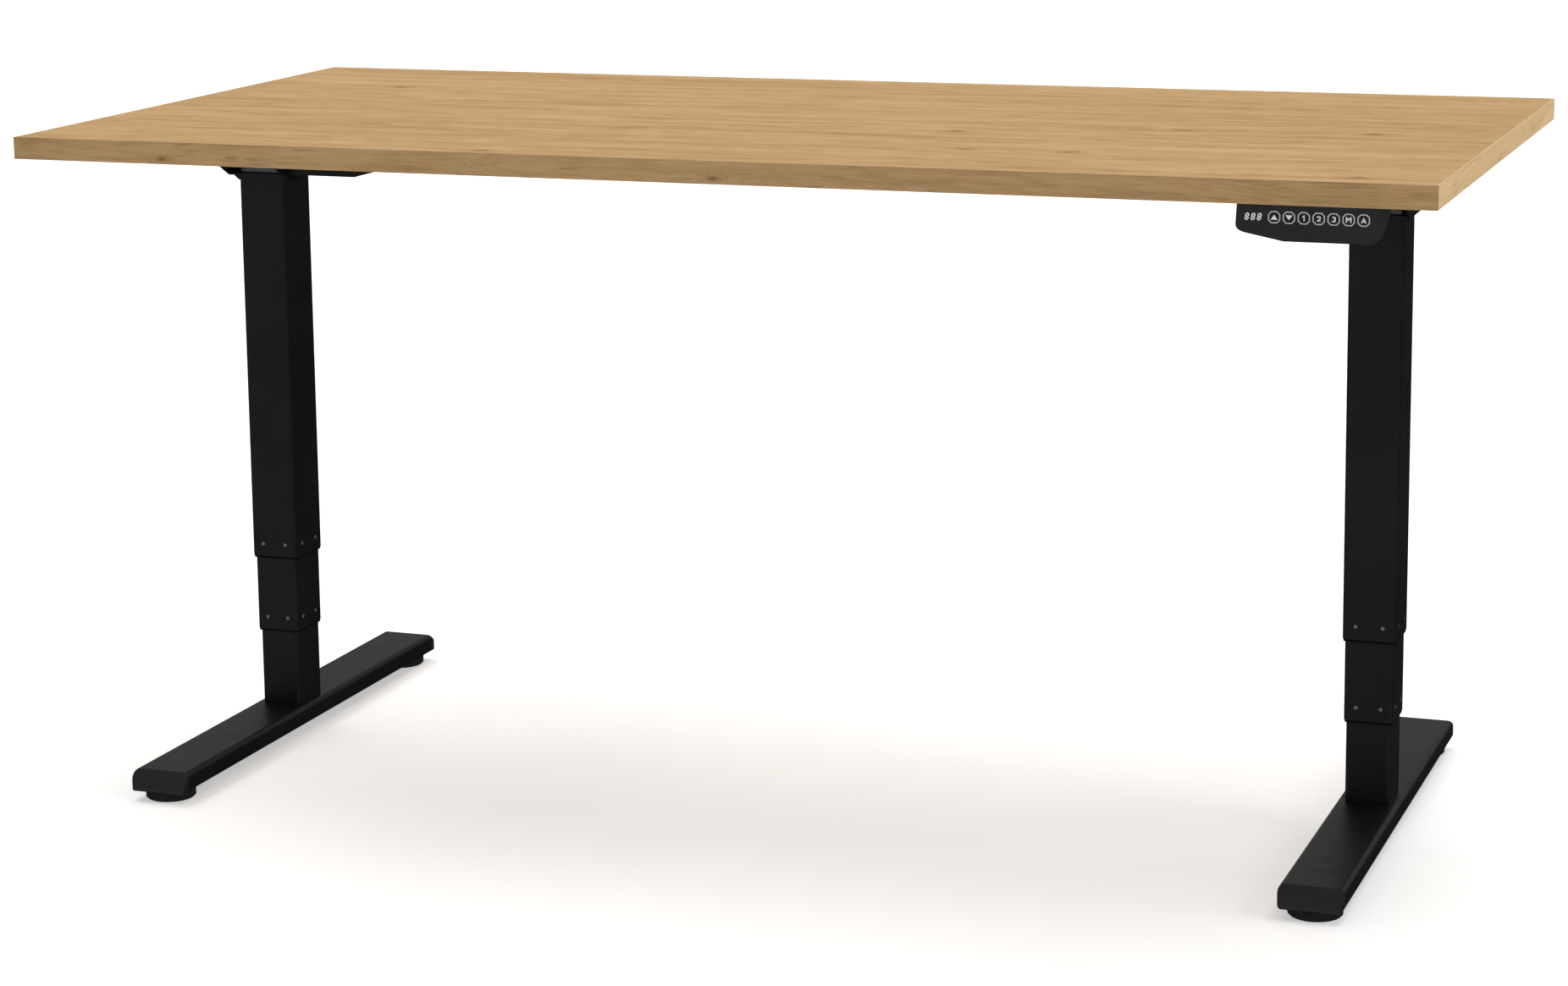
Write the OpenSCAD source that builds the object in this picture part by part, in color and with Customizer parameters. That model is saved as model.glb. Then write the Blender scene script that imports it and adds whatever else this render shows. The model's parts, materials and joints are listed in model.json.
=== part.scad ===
// Height adjustable standing desk with two motorised three-stage columns.
// Origin on the floor under the middle of the tabletop. X runs along the long side,
// Y towards the back edge, Z up. The desk is drawn at its rest height.

/* [Tabletop] */
// Length of the tabletop, along X
top_w = 1600; // [1500:10:2000]
// Depth of the tabletop, along Y
top_d = 800; // [700:10:1000]
// Thickness of the tabletop
top_t = 25; // [18:1:40]
// Height of the tabletop's upper face at rest
desk_h = 780; // [740:5:940]
// Thickness of the glued edge bands
band_t = 1.5; // [0.8:0.1:3]
// Radius of the edge bands' long outer edges
band_r = 0.7; // [0.3:0.1:0.8]

/* [Columns] */
// Distance between the two column axes
column_gap = 1350; // [1250:10:1450]
// How far the columns stand in front of the tabletop's middle line
column_fwd = 15; // [0:1:40]
// Width of the outer tube, along X
outer_w = 60; // [55:1:75]
// Depth of the outer tube, along Y
outer_d = 70; // [62:1:85]
// Outside corner radius of the outer tube
outer_r = 5; // [4:0.5:8]
// Wall of all three tubes
tube_wall = 1.5; // [1.2:0.1:2]
// Gap between one tube and the next, on each side
tube_gap = 1; // [0.8:0.1:2]
// Height of the inner tube that shows above the foot at rest
inner_show = 95; // [93:1:160]
// Height of the middle tube that shows at rest
middle_show = 93; // [91:1:160]
// Travel of each stage downwards from rest
stage_down = 85; // [60:1:85]
// Travel of each stage upwards from rest
stage_up = 240; // [150:1:240]

/* [Glides] */
// Height of the plastic rim below each tube
rim_h = 2.6; // [1.5:0.1:4]
// How far the rim stands back from the tube's face
rim_inset = 0.7; // [0.3:0.1:1.2]
// Height of the sliding liner inside the tube
liner_h = 42; // [25:1:60]
// Radius of the pegs that hold the liner
peg_r = 2.2; // [1.5:0.1:3]
// Height of the pegs above the tube's lower edge
peg_rise = 15; // [8:1:20]

/* [Fits] */
// Clearance of a sliding or turning fit, on the radius or on each side
slide_fit = 0.06; // [0.03:0.01:0.1]
// Clearance between pieces that are fixed together
fixed_fit = 0.1; // [0.05:0.05:0.2]
// Clearance round a bolt or a screw in its hole
bolt_fit = 0.3; // [0.1:0.05:0.5]

/* [Feet] */
// Length of the foot beam, along Y
foot_len = 660; // [540:10:800]
// Width of the foot beam
foot_w = 70; // [66:1:90]
// Height of the foot beam
foot_t = 24; // [20:1:30]
// Radius of the foot beam's long edges
foot_r = 6; // [4:0.5:8]
// Wall of the foot beam
foot_wall = 2; // [1.5:0.1:3]
// Length of the plastic cap beyond the beam
cap_len = 15; // [10:1:22]
// Length of the slope on the cap's top, from the beam to the crease
cap_slope = 10; // [6:0.5:12]
// Drop of that slope
cap_drop = 10; // [2:0.5:12]
// Height of the cap's nose above its underside
nose_h = 5; // [3:0.5:8]
// Radius of the cap's upright corners
cap_corner = 8; // [3:0.5:9]
// Length of the cap's plug inside the beam
plug_len = 8; // [6:1:8]
// Gap between the floor and the foot beam
foot_gap = 12; // [8:1:14]
// Radius of the levelling pads
pad_r = 29; // [18:1:31]
// Distance of the pads from the beam's ends
pad_inset = 19; // [19:1:60]
// Radius of the levelling studs
stud_r = 4; // [3:0.5:5]

/* [Column heads] */
// Distance of the side brackets' tips from the tabletop's edges, when the columns are centred
arm_setback = 120; // [110:5:160]
// How far the side brackets stand out from the outer tube, on each side
arm_side = 8; // [6:0.5:12]
// How far the brackets' deep middle reaches in front of and behind the outer tube
arm_reach = 10; // [8:1:20]
// Depth of the brackets at their ends
arm_thin = 14; // [10:1:20]
// Slope of the brackets' lower edges, in degrees
arm_slope = 29; // [25:1:40]
// Sheet thickness of the brackets
arm_sheet = 2.5; // [2:0.1:3]
// Drop from the tabletop's underside to the outer tube's top
head_drop = 55; // [54:1:60]
// Radius of the motors
motor_r = 22; // [18:1:23]
// Length of the motors
motor_len = 90; // [70:1:92]
// Distance of the motor cover's end from the column axis
cover_len = 196; // [180:1:230]
// Slope of the motor cover's end, in degrees
cover_slope = 15; // [14:1:20]
// Sheet thickness of the motor cover
cover_sheet = 1.5; // [1:0.1:2]

/* [Crossbeam] */
// Length of the crossbeam's sleeves
sleeve_len = 660; // [500:10:760]
// How far the rails reach into the sleeves
rail_overlap = 150; // [100:5:200]
// Width of a rail, along Y
rail_w = 20; // [16:1:24]
// Height of a rail
rail_h = 34; // [28:1:36]
// Wall of the rails and sleeves
rail_wall = 1.6; // [1.5:0.1:2.5]

/* [Lifting screws] */
// Radius of the inner lifting screw
screw_r = 7; // [6:0.5:8]
// Radius of the hollow lifting screw
hollow_r = 13; // [12:0.5:14]
// Thickness of the nut plates in the middle and inner tubes
nut_plate = 12; // [8:1:16]

/* [Handset] */
// Width of the display's end of the handset, left of the first key
display_w = 33.3; // [30:0.1:50]
// Width of the margin to the right of the last key
key_margin = 7.9; // [6:0.1:15]
// Distance of the handset's right edge from the tabletop's right edge
handset_edge = 59; // [30:1:90]
// Height of the handset at its right side
handset_h = 36.5; // [34:0.5:44]
// Height of the handset at its left side
handset_low = 22; // [20:0.5:26]
// Depth of the handset under the tabletop
handset_d = 72; // [60:1:90]
// Setback of the handset's face from the tabletop's front edge
handset_back = 2; // [1:0.5:8]
// Size of a key across its flats
key_size = 12.4; // [10:0.2:15]
// Gap between two keys
key_space = 2.5; // [2.3:0.1:5]
// Travel of a key
key_travel = 0.5; // [0.3:0.1:0.6]

/* [Control box] */
// Length of the control box, along X
box_w = 250; // [200:5:300]
// Depth of the control box, along Y
box_d = 100; // [80:5:120]
// Height of the control box
box_h = 38; // [32:1:44]
// Wall of the control box
box_wall = 2.2; // [1.8:0.1:3]

/* [Leads] */
// Radius of the motor and handset leads
lead_r = 2.2; // [1.5:0.1:2.5]

/* [Hidden] */
$fn = 48;
LEFT = -1;
RIGHT = 1;
under = desk_h - top_t;
leg_y = -column_fwd;
front_y = -top_d / 2;
beam_half = foot_len / 2;

// Heights of the column's parts at rest.
foot_top = foot_gap + foot_t;
middle_bottom = foot_top + inner_show;
outer_bottom = middle_bottom + middle_show;
tube_top = under - head_drop;
end_gap = 11;
middle_top = tube_top - stage_down - end_gap;
screw_flange = 8;
inner_top = middle_top - nut_plate - screw_flange - stage_down - 4;
screw_bottom = middle_top - nut_plate - stage_up - 15;
hollow_bottom = inner_top - nut_plate - stage_up - 15;
base_plate = 6;

// Sections of the tubes, each one inside the one before it.
stage_step = 2 * (tube_wall + tube_gap);
middle_w = outer_w - stage_step;
middle_d = outer_d - stage_step;
inner_w = middle_w - stage_step;
inner_d = middle_d - stage_step;
middle_r = outer_r - 0.5;
inner_r = middle_r - 0.5;

// Bolts of the feet.
foot_bolt_r = 4;
foot_bolt_x = inner_w / 2 - 11;
foot_bolt_y = inner_d / 2 - 11;
access_r = 8;
pad_y = beam_half - pad_inset;
pad_gap = 0.3;

// Column head.
arm_len = top_d - 2 * arm_setback;
arm_w = outer_w + 2 * arm_side;
arm_deep = head_drop + 3;
arm_mid = outer_d + 2 * arm_reach;
gear_w = outer_w - 10;
gear_d = outer_d - 6;
gear_flange = 4;
gear_h = head_drop - 7;
motor_z = tube_top + gear_flange + motor_r;
cover_z = tube_top - 2;
cover_half = outer_d / 2;
cover_start = arm_w / 2 + fixed_fit;
cover_tail_h = 38;
cover_rise = under - cover_tail_h - cover_z;
cover_bend = cover_len - cover_rise / tan(cover_slope);
gusset = 7;

// Crossbeam.
sleeve_fit = 0.3;
rail_y = cover_half + 4 + rail_w / 2;
rail_top = under - rail_wall - sleeve_fit;
rail_z = rail_top - rail_h / 2;
rail_start = arm_w / 2 + fixed_fit;
rail_end = column_gap / 2 - sleeve_len / 2 + rail_overlap;
tab_t = 3;
tab_out = 18;
beam_bolt_r = 3;
beam_bolt_y = rail_y + rail_w / 2 + 9;
beam_bolt_z = [rail_z - 9, rail_z + 9];

// Board screws, counted from the column axis along Y.
screw_thread_r = 2.4;
screw_depth = top_t - 8;
bracket_screw_y = [-arm_len / 2 + 18, -arm_len / 2 + 110, arm_len / 2 - 110, arm_len / 2 - 18];

// Handset.
face_t = 1.6;
face_y = front_y + handset_back;
key_pitch = key_size + key_space;
handset_w = display_w + 7 * key_size + 6 * key_space + key_margin;
handset_right = top_w / 2 - handset_edge;
handset_left = handset_right - handset_w;
handset_wall = 2;
key_z = under - 12.4;
key_cut = 3.2;
key_proud = 0.2;
key_cap = 1.9;
key_flange = 0.8;
key_gap = 0.15;
KEYS = ["up", "down", "one", "two", "three", "memory", "alarm"];
first_key_x = handset_left + display_w + key_size / 2;
pcb_t = 1.6;
pcb_y = face_y + 7.4;

// Control box.
box_y = leg_y + rail_y + rail_w + 70 + box_d / 2;
lid_t = 3;
ear = 16;
box_bottom = under - box_h;
inlet_w = 24;
inlet_h = 16.6;
inlet_deep = 16;
inlet_wall = 3;
socket_deep = 10;
pcb_foot = 6;

// Leads. They run just under the board and dip below the crossbeam.
lead_z = under - 6;
dip_z = rail_top - rail_h - rail_wall - sleeve_fit - lead_r - 1;
lead_run_y = box_y - 12;
handset_run_y = (face_y + handset_d + leg_y - arm_len / 2) / 2;
handset_exit_x = handset_left + 27;
handset_cross_x = 60;

// ---- shared shapes -------------------------------------------------------------------

function unit(v) = v / norm(v);

function arc(cx, cy, r, a0, a1, steps = 6) =
    [for (i = [0:steps]) let (a = a0 + (a1 - a0) * i / steps) [cx + r * cos(a), cy + r * sin(a)]];

// Outline of a rectangle with round corners, centred on the origin.
function round_rect(w, h, r, steps = 6) = concat(
    arc(w / 2 - r, h / 2 - r, r, 0, 90, steps),
    arc(r - w / 2, h / 2 - r, r, 90, 180, steps),
    arc(r - w / 2, r - h / 2, r, 180, 270, steps),
    arc(w / 2 - r, r - h / 2, r, 270, 360, steps));

// Arc of radius r that rounds the corner b between a and c.
function round_corner(a, b, c, r, steps) =
    let (
        u = unit(a - b),
        v = unit(c - b),
        half = acos(u * v) / 2,
        middle = b + unit(u + v) * r / sin(half),
        start = b + u * r / tan(half) - middle,
        stop = b + v * r / tan(half) - middle,
        a0 = atan2(start[1], start[0]),
        turn = atan2(stop[1], stop[0]) - a0,
        sweep = turn > 180 ? turn - 360 : turn < -180 ? turn + 360 : turn
    )
    [for (i = [0:steps]) middle + r * [cos(a0 + sweep * i / steps), sin(a0 + sweep * i / steps)]];

// Polygon with each corner rounded by its own radius, where 0 keeps it sharp.
function rounded(points, radii, steps = 6) =
    let (n = len(points))
    [for (i = [0:n - 1]) each radii[i] > 0
        ? round_corner(points[(i + n - 1) % n], points[i], points[(i + 1) % n], radii[i], steps)
        : [points[i]]];

// Extrudes an outline drawn in X and Z along Y.
module along_y(y0, y1) {
    translate([0, y1, 0])
        rotate([90, 0, 0])
            linear_extrude(y1 - y0)
                children();
}

// Extrudes an outline drawn in Y and Z along X.
module along_x(x0, x1) {
    translate([x0, 0, 0])
        rotate([90, 0, 90])
            linear_extrude(x1 - x0)
                children();
}

// Box between two corners.
module block(low, high) {
    translate(low)
        cube(high - low);
}

// Places its children on a column axis; side is LEFT or RIGHT, and +X then points inboard.
module at_column(side) {
    translate([side * column_gap / 2, leg_y, 0])
        mirror([side == RIGHT ? 1 : 0, 0, 0])
            children();
}

module pipe(w, d, r, wall, z0, z1) {
    translate([0, 0, z0])
        linear_extrude(z1 - z0)
            difference() {
                polygon(round_rect(w, d, r));
                polygon(round_rect(w - 2 * wall, d - 2 * wall, r - wall));
            }
}

// Two places on each face of a tube, with +Z pointing out of the face.
module on_faces(w, d, z) {
    for (face = [-1, 1])
        for (place = [-1, 1]) {
            translate([place * w / 4, face * d / 2, z])
                rotate([-90 * face, 0, 0])
                    children();
            translate([face * w / 2, place * d / 4, z])
                rotate([0, 90 * face, 0])
                    children();
        }
}

// Pan head screw or bolt that points up, with its head's seat at z = 0.
module bolt(shank_r, shank_len, head_r, head_h, key_r) {
    difference() {
        union() {
            translate([0, 0, -head_h])
                cylinder(r = head_r, h = head_h);
            cylinder(r = shank_r, h = shank_len);
        }
        translate([0, 0, -head_h - 1])
            cylinder(r = key_r, h = 1 + head_h * 0.6, $fn = 6);
    }
}

// ---- tabletop ------------------------------------------------------------------------

module at_bracket_screws() {
    for (side = [LEFT, RIGHT])
        for (y = bracket_screw_y)
            translate([side * column_gap / 2, leg_y + y, 0])
                children();
}

module at_box_screws() {
    for (side = [-1, 1])
        for (end = [-1, 1])
            translate([side * (box_w / 2 + ear / 2), box_y + end * (box_d / 2 - 15), 0])
                children();
}

module at_handset_screws() {
    for (x = [handset_left + 12, handset_right - 20])
        translate([x, face_y + handset_d - 12, 0])
            children();
}

module tabletop_board() {
    hole_r = screw_thread_r + slide_fit;
    color("burlywood")
        difference() {
            block([band_t - top_w / 2, band_t - top_d / 2, under],
                  [top_w / 2 - band_t, top_d / 2 - band_t, desk_h]);
            at_bracket_screws()
                translate([0, 0, under - 1])
                    cylinder(r = hole_r, h = screw_depth + 1);
            at_box_screws()
                translate([0, 0, under - 1])
                    cylinder(r = hole_r, h = screw_depth + 1);
            at_handset_screws()
                translate([0, 0, under - 1])
                    cylinder(r = hole_r, h = screw_depth + 1);
        }
}

// Section of an edge band whose outer face points to -1 along its first axis.
function band_section() = rounded(
    [[0, under], [band_t, under], [band_t, desk_h], [0, desk_h]],
    [band_r, 0, 0, band_r], 4);

module edge_bands_long() {
    color("peru")
        for (turn = [0, 180])
            rotate([0, 0, turn])
                translate([0, front_y, 0])
                    along_x(-top_w / 2, top_w / 2)
                        polygon(band_section());
}

module edge_bands_short() {
    color("peru")
        for (turn = [0, 180])
            rotate([0, 0, turn])
                translate([-top_w / 2, 0, 0])
                    along_y(front_y + band_t, top_d / 2 - band_t)
                        polygon(band_section());
}

// ---- column tubes and glides ---------------------------------------------------------

module stage_tube(w, d, r, z0, z1) {
    color("#1c1d20")
        difference() {
            pipe(w, d, r, tube_wall, z0, z1);
            on_faces(w, d, z0 + peg_rise)
                translate([0, 0, -tube_wall - 0.5])
                    cylinder(r = peg_r + 0.4, h = tube_wall + 1, $fn = 24);
        }
}

// Plastic liner in the tube's lower end, with its rim below the tube and pegs in its holes.
module glide(w, d, r, z0) {
    lined_w = w - 2 * tube_wall;
    lined_d = d - 2 * tube_wall;
    lined_r = r - tube_wall;
    reach = 0.6;
    color("#101113")
        difference() {
            union() {
                translate([0, 0, z0])
                    linear_extrude(liner_h)
                        polygon(round_rect(lined_w - 2 * fixed_fit, lined_d - 2 * fixed_fit,
                                           lined_r - fixed_fit));
                translate([0, 0, z0 - rim_h])
                    linear_extrude(rim_h)
                        polygon(round_rect(w - 2 * rim_inset, d - 2 * rim_inset, r - rim_inset));
                on_faces(w, d, z0 + peg_rise)
                    translate([0, 0, -tube_wall - reach])
                        cylinder(r = peg_r, h = tube_wall + reach - 0.3, $fn = 24);
            }
            translate([0, 0, z0 - rim_h - 1])
                linear_extrude(liner_h + rim_h + 2)
                    polygon(round_rect(lined_w - 2 * tube_gap + 2 * slide_fit,
                                       lined_d - 2 * tube_gap + 2 * slide_fit,
                                       r - 0.5 + slide_fit));
        }
}

module outer_tube(side) {
    at_column(side)
        stage_tube(outer_w, outer_d, outer_r, outer_bottom, tube_top);
}

module outer_glide(side) {
    at_column(side)
        glide(outer_w, outer_d, outer_r, outer_bottom);
}

module middle_tube(side) {
    at_column(side)
        stage_tube(middle_w, middle_d, middle_r, middle_bottom, middle_top);
}

module middle_glide(side) {
    at_column(side)
        glide(middle_w, middle_d, middle_r, middle_bottom);
}

// Plate that closes the top of a tube and holds a lifting nut with the given bore.
module nut_block(w, d, r, z, bore_r) {
    inset = tube_wall + fixed_fit;
    color("#c9c4b4")
        difference() {
            translate([0, 0, z - nut_plate])
                linear_extrude(nut_plate)
                    polygon(round_rect(w - 2 * inset, d - 2 * inset, r - inset));
            translate([0, 0, z - nut_plate - 1])
                cylinder(r = bore_r + slide_fit, h = nut_plate + 2);
        }
}

module upper_nut(side) {
    at_column(side)
        nut_block(middle_w, middle_d, middle_r, middle_top, screw_r);
}

module lower_nut(side) {
    at_column(side)
        nut_block(inner_w, inner_d, inner_r, inner_top, hollow_r);
}

// Solid screw turned by the gearbox; it drives the nut in the middle tube.
module inner_screw(side) {
    color("#b8bcc2")
        at_column(side)
            translate([0, 0, screw_bottom])
                cylinder(r = screw_r, h = tube_top + 18 - screw_bottom);
}

// Hollow screw keyed to the inner screw; it hangs under the middle tube's nut plate and
// drives the nut in the inner tube.
module hollow_screw(side) {
    bush_h = 24;
    top_z = middle_top - nut_plate - 0.3;
    color("#a9adb4")
        at_column(side)
            difference() {
                union() {
                    translate([0, 0, hollow_bottom])
                        cylinder(r = hollow_r, h = top_z - hollow_bottom);
                    translate([0, 0, top_z - screw_flange + 0.3])
                        cylinder(r = hollow_r + 4, h = screw_flange - 0.3);
                }
                translate([0, 0, hollow_bottom - 1])
                    cylinder(r = screw_r + 2, h = top_z - bush_h - hollow_bottom + 1);
                translate([0, 0, hollow_bottom - 1])
                    cylinder(r = screw_r + slide_fit, h = top_z - hollow_bottom + 2);
            }
}

module at_foot_bolts() {
    for (x = [-foot_bolt_x, foot_bolt_x])
        for (y = [-foot_bolt_y, foot_bolt_y])
            translate([x, y, 0])
                children();
}

// Inner tube with the base plate welded into its lower end.
module inner_tube(side) {
    color("#1c1d20")
        at_column(side)
            difference() {
                union() {
                    pipe(inner_w, inner_d, inner_r, tube_wall, foot_top, inner_top);
                    translate([0, 0, foot_top])
                        linear_extrude(base_plate)
                            polygon(round_rect(inner_w - 1, inner_d - 1, inner_r - 0.5));
                }
                at_foot_bolts()
                    translate([0, 0, foot_top - 1])
                        cylinder(r = foot_bolt_r + slide_fit, h = base_plate + 2);
            }
}

// ---- feet ----------------------------------------------------------------------------

module at_pads() {
    for (end = [-1, 1])
        translate([0, end * pad_y, 0])
            children();
}

module foot_beam(side) {
    nut_h = 6;
    color("#242529")
        at_column(side)
            difference() {
                union() {
                    translate([0, 0, foot_gap + foot_t / 2])
                        along_y(-beam_half, beam_half)
                            difference() {
                                polygon(round_rect(foot_w, foot_t, foot_r));
                                polygon(round_rect(foot_w - 2 * foot_wall, foot_t - 2 * foot_wall,
                                                   foot_r - foot_wall));
                            }
                    at_pads()
                        translate([0, 0, foot_gap + foot_wall / 2])
                            cylinder(r = stud_r + 5, h = foot_wall / 2 + nut_h);
                }
                at_pads()
                    translate([0, 0, foot_gap - 1])
                        cylinder(r = stud_r + slide_fit, h = foot_wall + nut_h + 2);
                at_foot_bolts() {
                    translate([0, 0, foot_top - foot_wall - 1])
                        cylinder(r = foot_bolt_r + bolt_fit, h = foot_wall + 2);
                    translate([0, 0, foot_gap - 1])
                        cylinder(r = access_r, h = foot_wall + 2);
                }
            }
}

// One cap in front of the beam's front end: a plug inside and a rounded, creased nose outside.
module foot_cap() {
    low = foot_gap;
    nose = -beam_half - cap_len;
    plug_w = foot_w - 2 * foot_wall - 2 * fixed_fit;
    plug_t = foot_t - 2 * foot_wall - 2 * fixed_fit;
    intersection() {
        translate([0, 0, foot_gap + foot_t / 2])
            along_y(nose, -beam_half)
                polygon(round_rect(foot_w, foot_t, foot_r));
        along_x(-foot_w, foot_w)
            polygon(rounded(
                [[-beam_half, low], [nose, low], [nose, low + nose_h],
                 [-beam_half - cap_slope, foot_top - cap_drop], [-beam_half, foot_top]],
                [0, 2.5, 2, 0.8, 0]));
        linear_extrude(foot_top + 1)
            polygon(rounded(
                [[-foot_w / 2, -beam_half + 1], [-foot_w / 2, nose],
                 [foot_w / 2, nose], [foot_w / 2, -beam_half + 1]],
                [0, cap_corner, cap_corner, 0]));
    }
    translate([0, 0, foot_gap + foot_t / 2])
        along_y(-beam_half - 1, -beam_half + plug_len)
            difference() {
                polygon(round_rect(plug_w, plug_t, foot_r - foot_wall - fixed_fit));
                square([plug_w - 8, plug_t - 6], center = true);
            }
}

module foot_caps(side) {
    color("#141517")
        at_column(side)
            for (turn = [0, 180])
                rotate([0, 0, turn])
                    foot_cap();
}

module foot_bolts(side) {
    color("#8c9096")
        at_column(side)
            at_foot_bolts()
                translate([0, 0, foot_top - foot_wall])
                    bolt(foot_bolt_r, foot_wall + base_plate + 1.5, 6.5, 5, 3.4);
}

// Levelling pad on its threaded stud; end is -1 for the front and 1 for the back.
module levelling_pad(side, end) {
    top_z = foot_gap - pad_gap;
    color("#0f1012")
        at_column(side)
            translate([0, end * pad_y, 0])
                rotate_extrude($fn = 64)
                    polygon([[0, 0], [pad_r - 2, 0], [pad_r, 2], [pad_r, top_z - 1.5],
                             [pad_r - 1.5, top_z], [stud_r, top_z], [stud_r, foot_top - foot_wall - 2],
                             [0, foot_top - foot_wall - 2]]);
}

// ---- column heads --------------------------------------------------------------------

// Side outline of the bracket, in Y and Z.
function arm_outline() =
    let (
        half = arm_len / 2,
        flat = arm_mid / 2,
        run = (arm_deep - arm_thin) / tan(arm_slope),
        tip = 10
    )
    [[-half, under], [-half, under - 4], [-half + tip, under - arm_thin],
     [-flat - run, under - arm_thin], [-flat, under - arm_deep], [flat, under - arm_deep],
     [flat + run, under - arm_thin], [half - tip, under - arm_thin], [half, under - 4],
     [half, under]];

// Folded steel bracket: an upper plate, two side walls and a floor round the outer tube.
module side_bracket(side) {
    wall_in = arm_w / 2 - arm_sheet;
    floor_z = under - arm_deep;
    color("#1a1b1e")
        at_column(side)
            difference() {
                union() {
                    along_x(-arm_w / 2, -wall_in)
                        polygon(arm_outline());
                    along_x(wall_in, arm_w / 2)
                        polygon(arm_outline());
                    block([-arm_w / 2, -arm_len / 2, under - arm_sheet], [arm_w / 2, arm_len / 2, under]);
                    block([-arm_w / 2, -arm_mid / 2, floor_z], [arm_w / 2, arm_mid / 2, floor_z + arm_sheet]);
                    along_y(-outer_d / 2, outer_d / 2)
                        polygon([[-arm_w / 2, floor_z + 0.5], [-arm_w / 2, floor_z],
                                 [-outer_w / 2, floor_z - gusset], [outer_w / 2, floor_z - gusset],
                                 [arm_w / 2, floor_z], [arm_w / 2, floor_z + 0.5]]);
                }
                translate([0, 0, floor_z - gusset - 1])
                    linear_extrude(gusset + arm_sheet + 2)
                        polygon(round_rect(outer_w + 2 * fixed_fit, outer_d + 2 * fixed_fit,
                                           outer_r + fixed_fit));
                translate([wall_in - 1, 0, motor_z])
                    rotate([0, 90, 0])
                        cylinder(r = motor_r + 1, h = arm_sheet + 2);
                for (y = bracket_screw_y)
                    translate([0, y, under - arm_sheet - 1])
                        cylinder(r = screw_thread_r + bolt_fit, h = arm_sheet + 2);
                at_beam_bolts()
                    translate([0, 0, -1])
                        cylinder(r = beam_bolt_r + bolt_fit, h = tab_t + arm_sheet + 3);
            }
}

// Gearbox on the outer tube's top; its blind hole takes the inner screw.
module gearbox(side) {
    color("#6f757c")
        at_column(side)
            difference() {
                union() {
                    translate([0, 0, tube_top])
                        linear_extrude(gear_flange)
                            polygon(round_rect(outer_w, outer_d, outer_r));
                    translate([0, 0, tube_top + gear_flange / 2])
                        linear_extrude(gear_h - gear_flange / 2)
                            polygon(round_rect(gear_w, gear_d, 6));
                }
                translate([0, 0, tube_top - 1])
                    cylinder(r = screw_r + slide_fit, h = 20);
            }
}

// Motor lying inboard of the gearbox, with its rear bearing cup and a terminal block.
module motor(side) {
    start = gear_w / 2 + fixed_fit;
    color("#4a4e54")
        at_column(side)
            translate([0, 0, motor_z])
                rotate([0, 90, 0]) {
                    translate([0, 0, start])
                        cylinder(r = motor_r - 3, h = 13);
                    translate([0, 0, start + 12])
                        cylinder(r = motor_r, h = motor_len - 12);
                    translate([0, 0, start + motor_len - 1])
                        cylinder(r = 9, h = 8);
                }
}

// Outline of the motor cover in X and Z, moved in by its sheet on every side but the top.
function cover_outline(inset) =
    let (shift = inset * tan(cover_slope / 2))
    [[cover_start, under - 2 + 2 * inset], [cover_start, cover_z + inset],
     [cover_bend - shift, cover_z + inset],
     [cover_len - inset, under - cover_tail_h + inset / cos(cover_slope) - inset * tan(cover_slope)],
     [cover_len - inset, under - 2 + 2 * inset]];

function lead_exit_x() = cover_start + 62;

module motor_cover(side) {
    inner_half = cover_half - cover_sheet;
    color("#17181b")
        at_column(side)
            difference() {
                along_y(-cover_half, cover_half)
                    polygon(cover_outline(0));
                intersection() {
                    along_y(-inner_half, inner_half)
                        polygon(cover_outline(cover_sheet));
                    block([0, -cover_half, 0], [column_gap / 2, cover_half, desk_h]);
                }
                translate([cover_start - 1, -inner_half, cover_z + cover_sheet])
                    cube([3, 2 * inner_half, arm_deep]);
                translate([lead_exit_x(), inner_half - 1, dip_z])
                    rotate([-90, 0, 0])
                        cylinder(r = lead_r + fixed_fit, h = cover_sheet + 2);
            }
}

// ---- crossbeam -----------------------------------------------------------------------

// Places of the bolts that hold a rail's tabs to the bracket, with +Z pointing outboard.
module at_beam_bolts() {
    for (end = [-1, 1])
        for (z = beam_bolt_z)
            translate([rail_start + tab_t, end * beam_bolt_y, z])
                rotate([0, -90, 0])
                    children();
}

// Two rails joined by a cross plate, with a bolting tab on each rail's outer end.
module crossbeam_rail(side) {
    tie = 30;
    tab_in = rail_y - rail_w / 2;
    color("#1a1b1e")
        at_column(side)
            difference() {
                union() {
                    for (end = [-1, 1])
                        translate([0, end * rail_y, rail_z])
                            along_x(rail_start, rail_end)
                                difference() {
                                    square([rail_w, rail_h], center = true);
                                    square([rail_w - 2 * rail_wall, rail_h - 2 * rail_wall], center = true);
                                }
                    for (end = [0, 180])
                        rotate([end, 0, 0])
                            mirror([0, 0, end == 180 ? 1 : 0])
                                block([rail_start, tab_in, rail_top - rail_h],
                                      [rail_start + tab_t, rail_y + rail_w / 2 + tab_out, rail_top]);
                    block([cover_len + 6, -rail_y, rail_top - rail_wall],
                          [cover_len + 6 + tie, rail_y, rail_top]);
                }
                at_beam_bolts()
                    translate([0, 0, -1])
                        cylinder(r = beam_bolt_r + bolt_fit, h = tab_t + 2);
            }
}

module at_lock_bolts() {
    for (side = [LEFT, RIGHT])
        for (end = [-1, 1])
            translate([side * (sleeve_len / 2 - 30),
                       leg_y + end * (rail_y + rail_w / 2 + sleeve_fit + rail_wall), rail_z])
                rotate([90 * end, 0, 0])
                    children();
}

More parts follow.
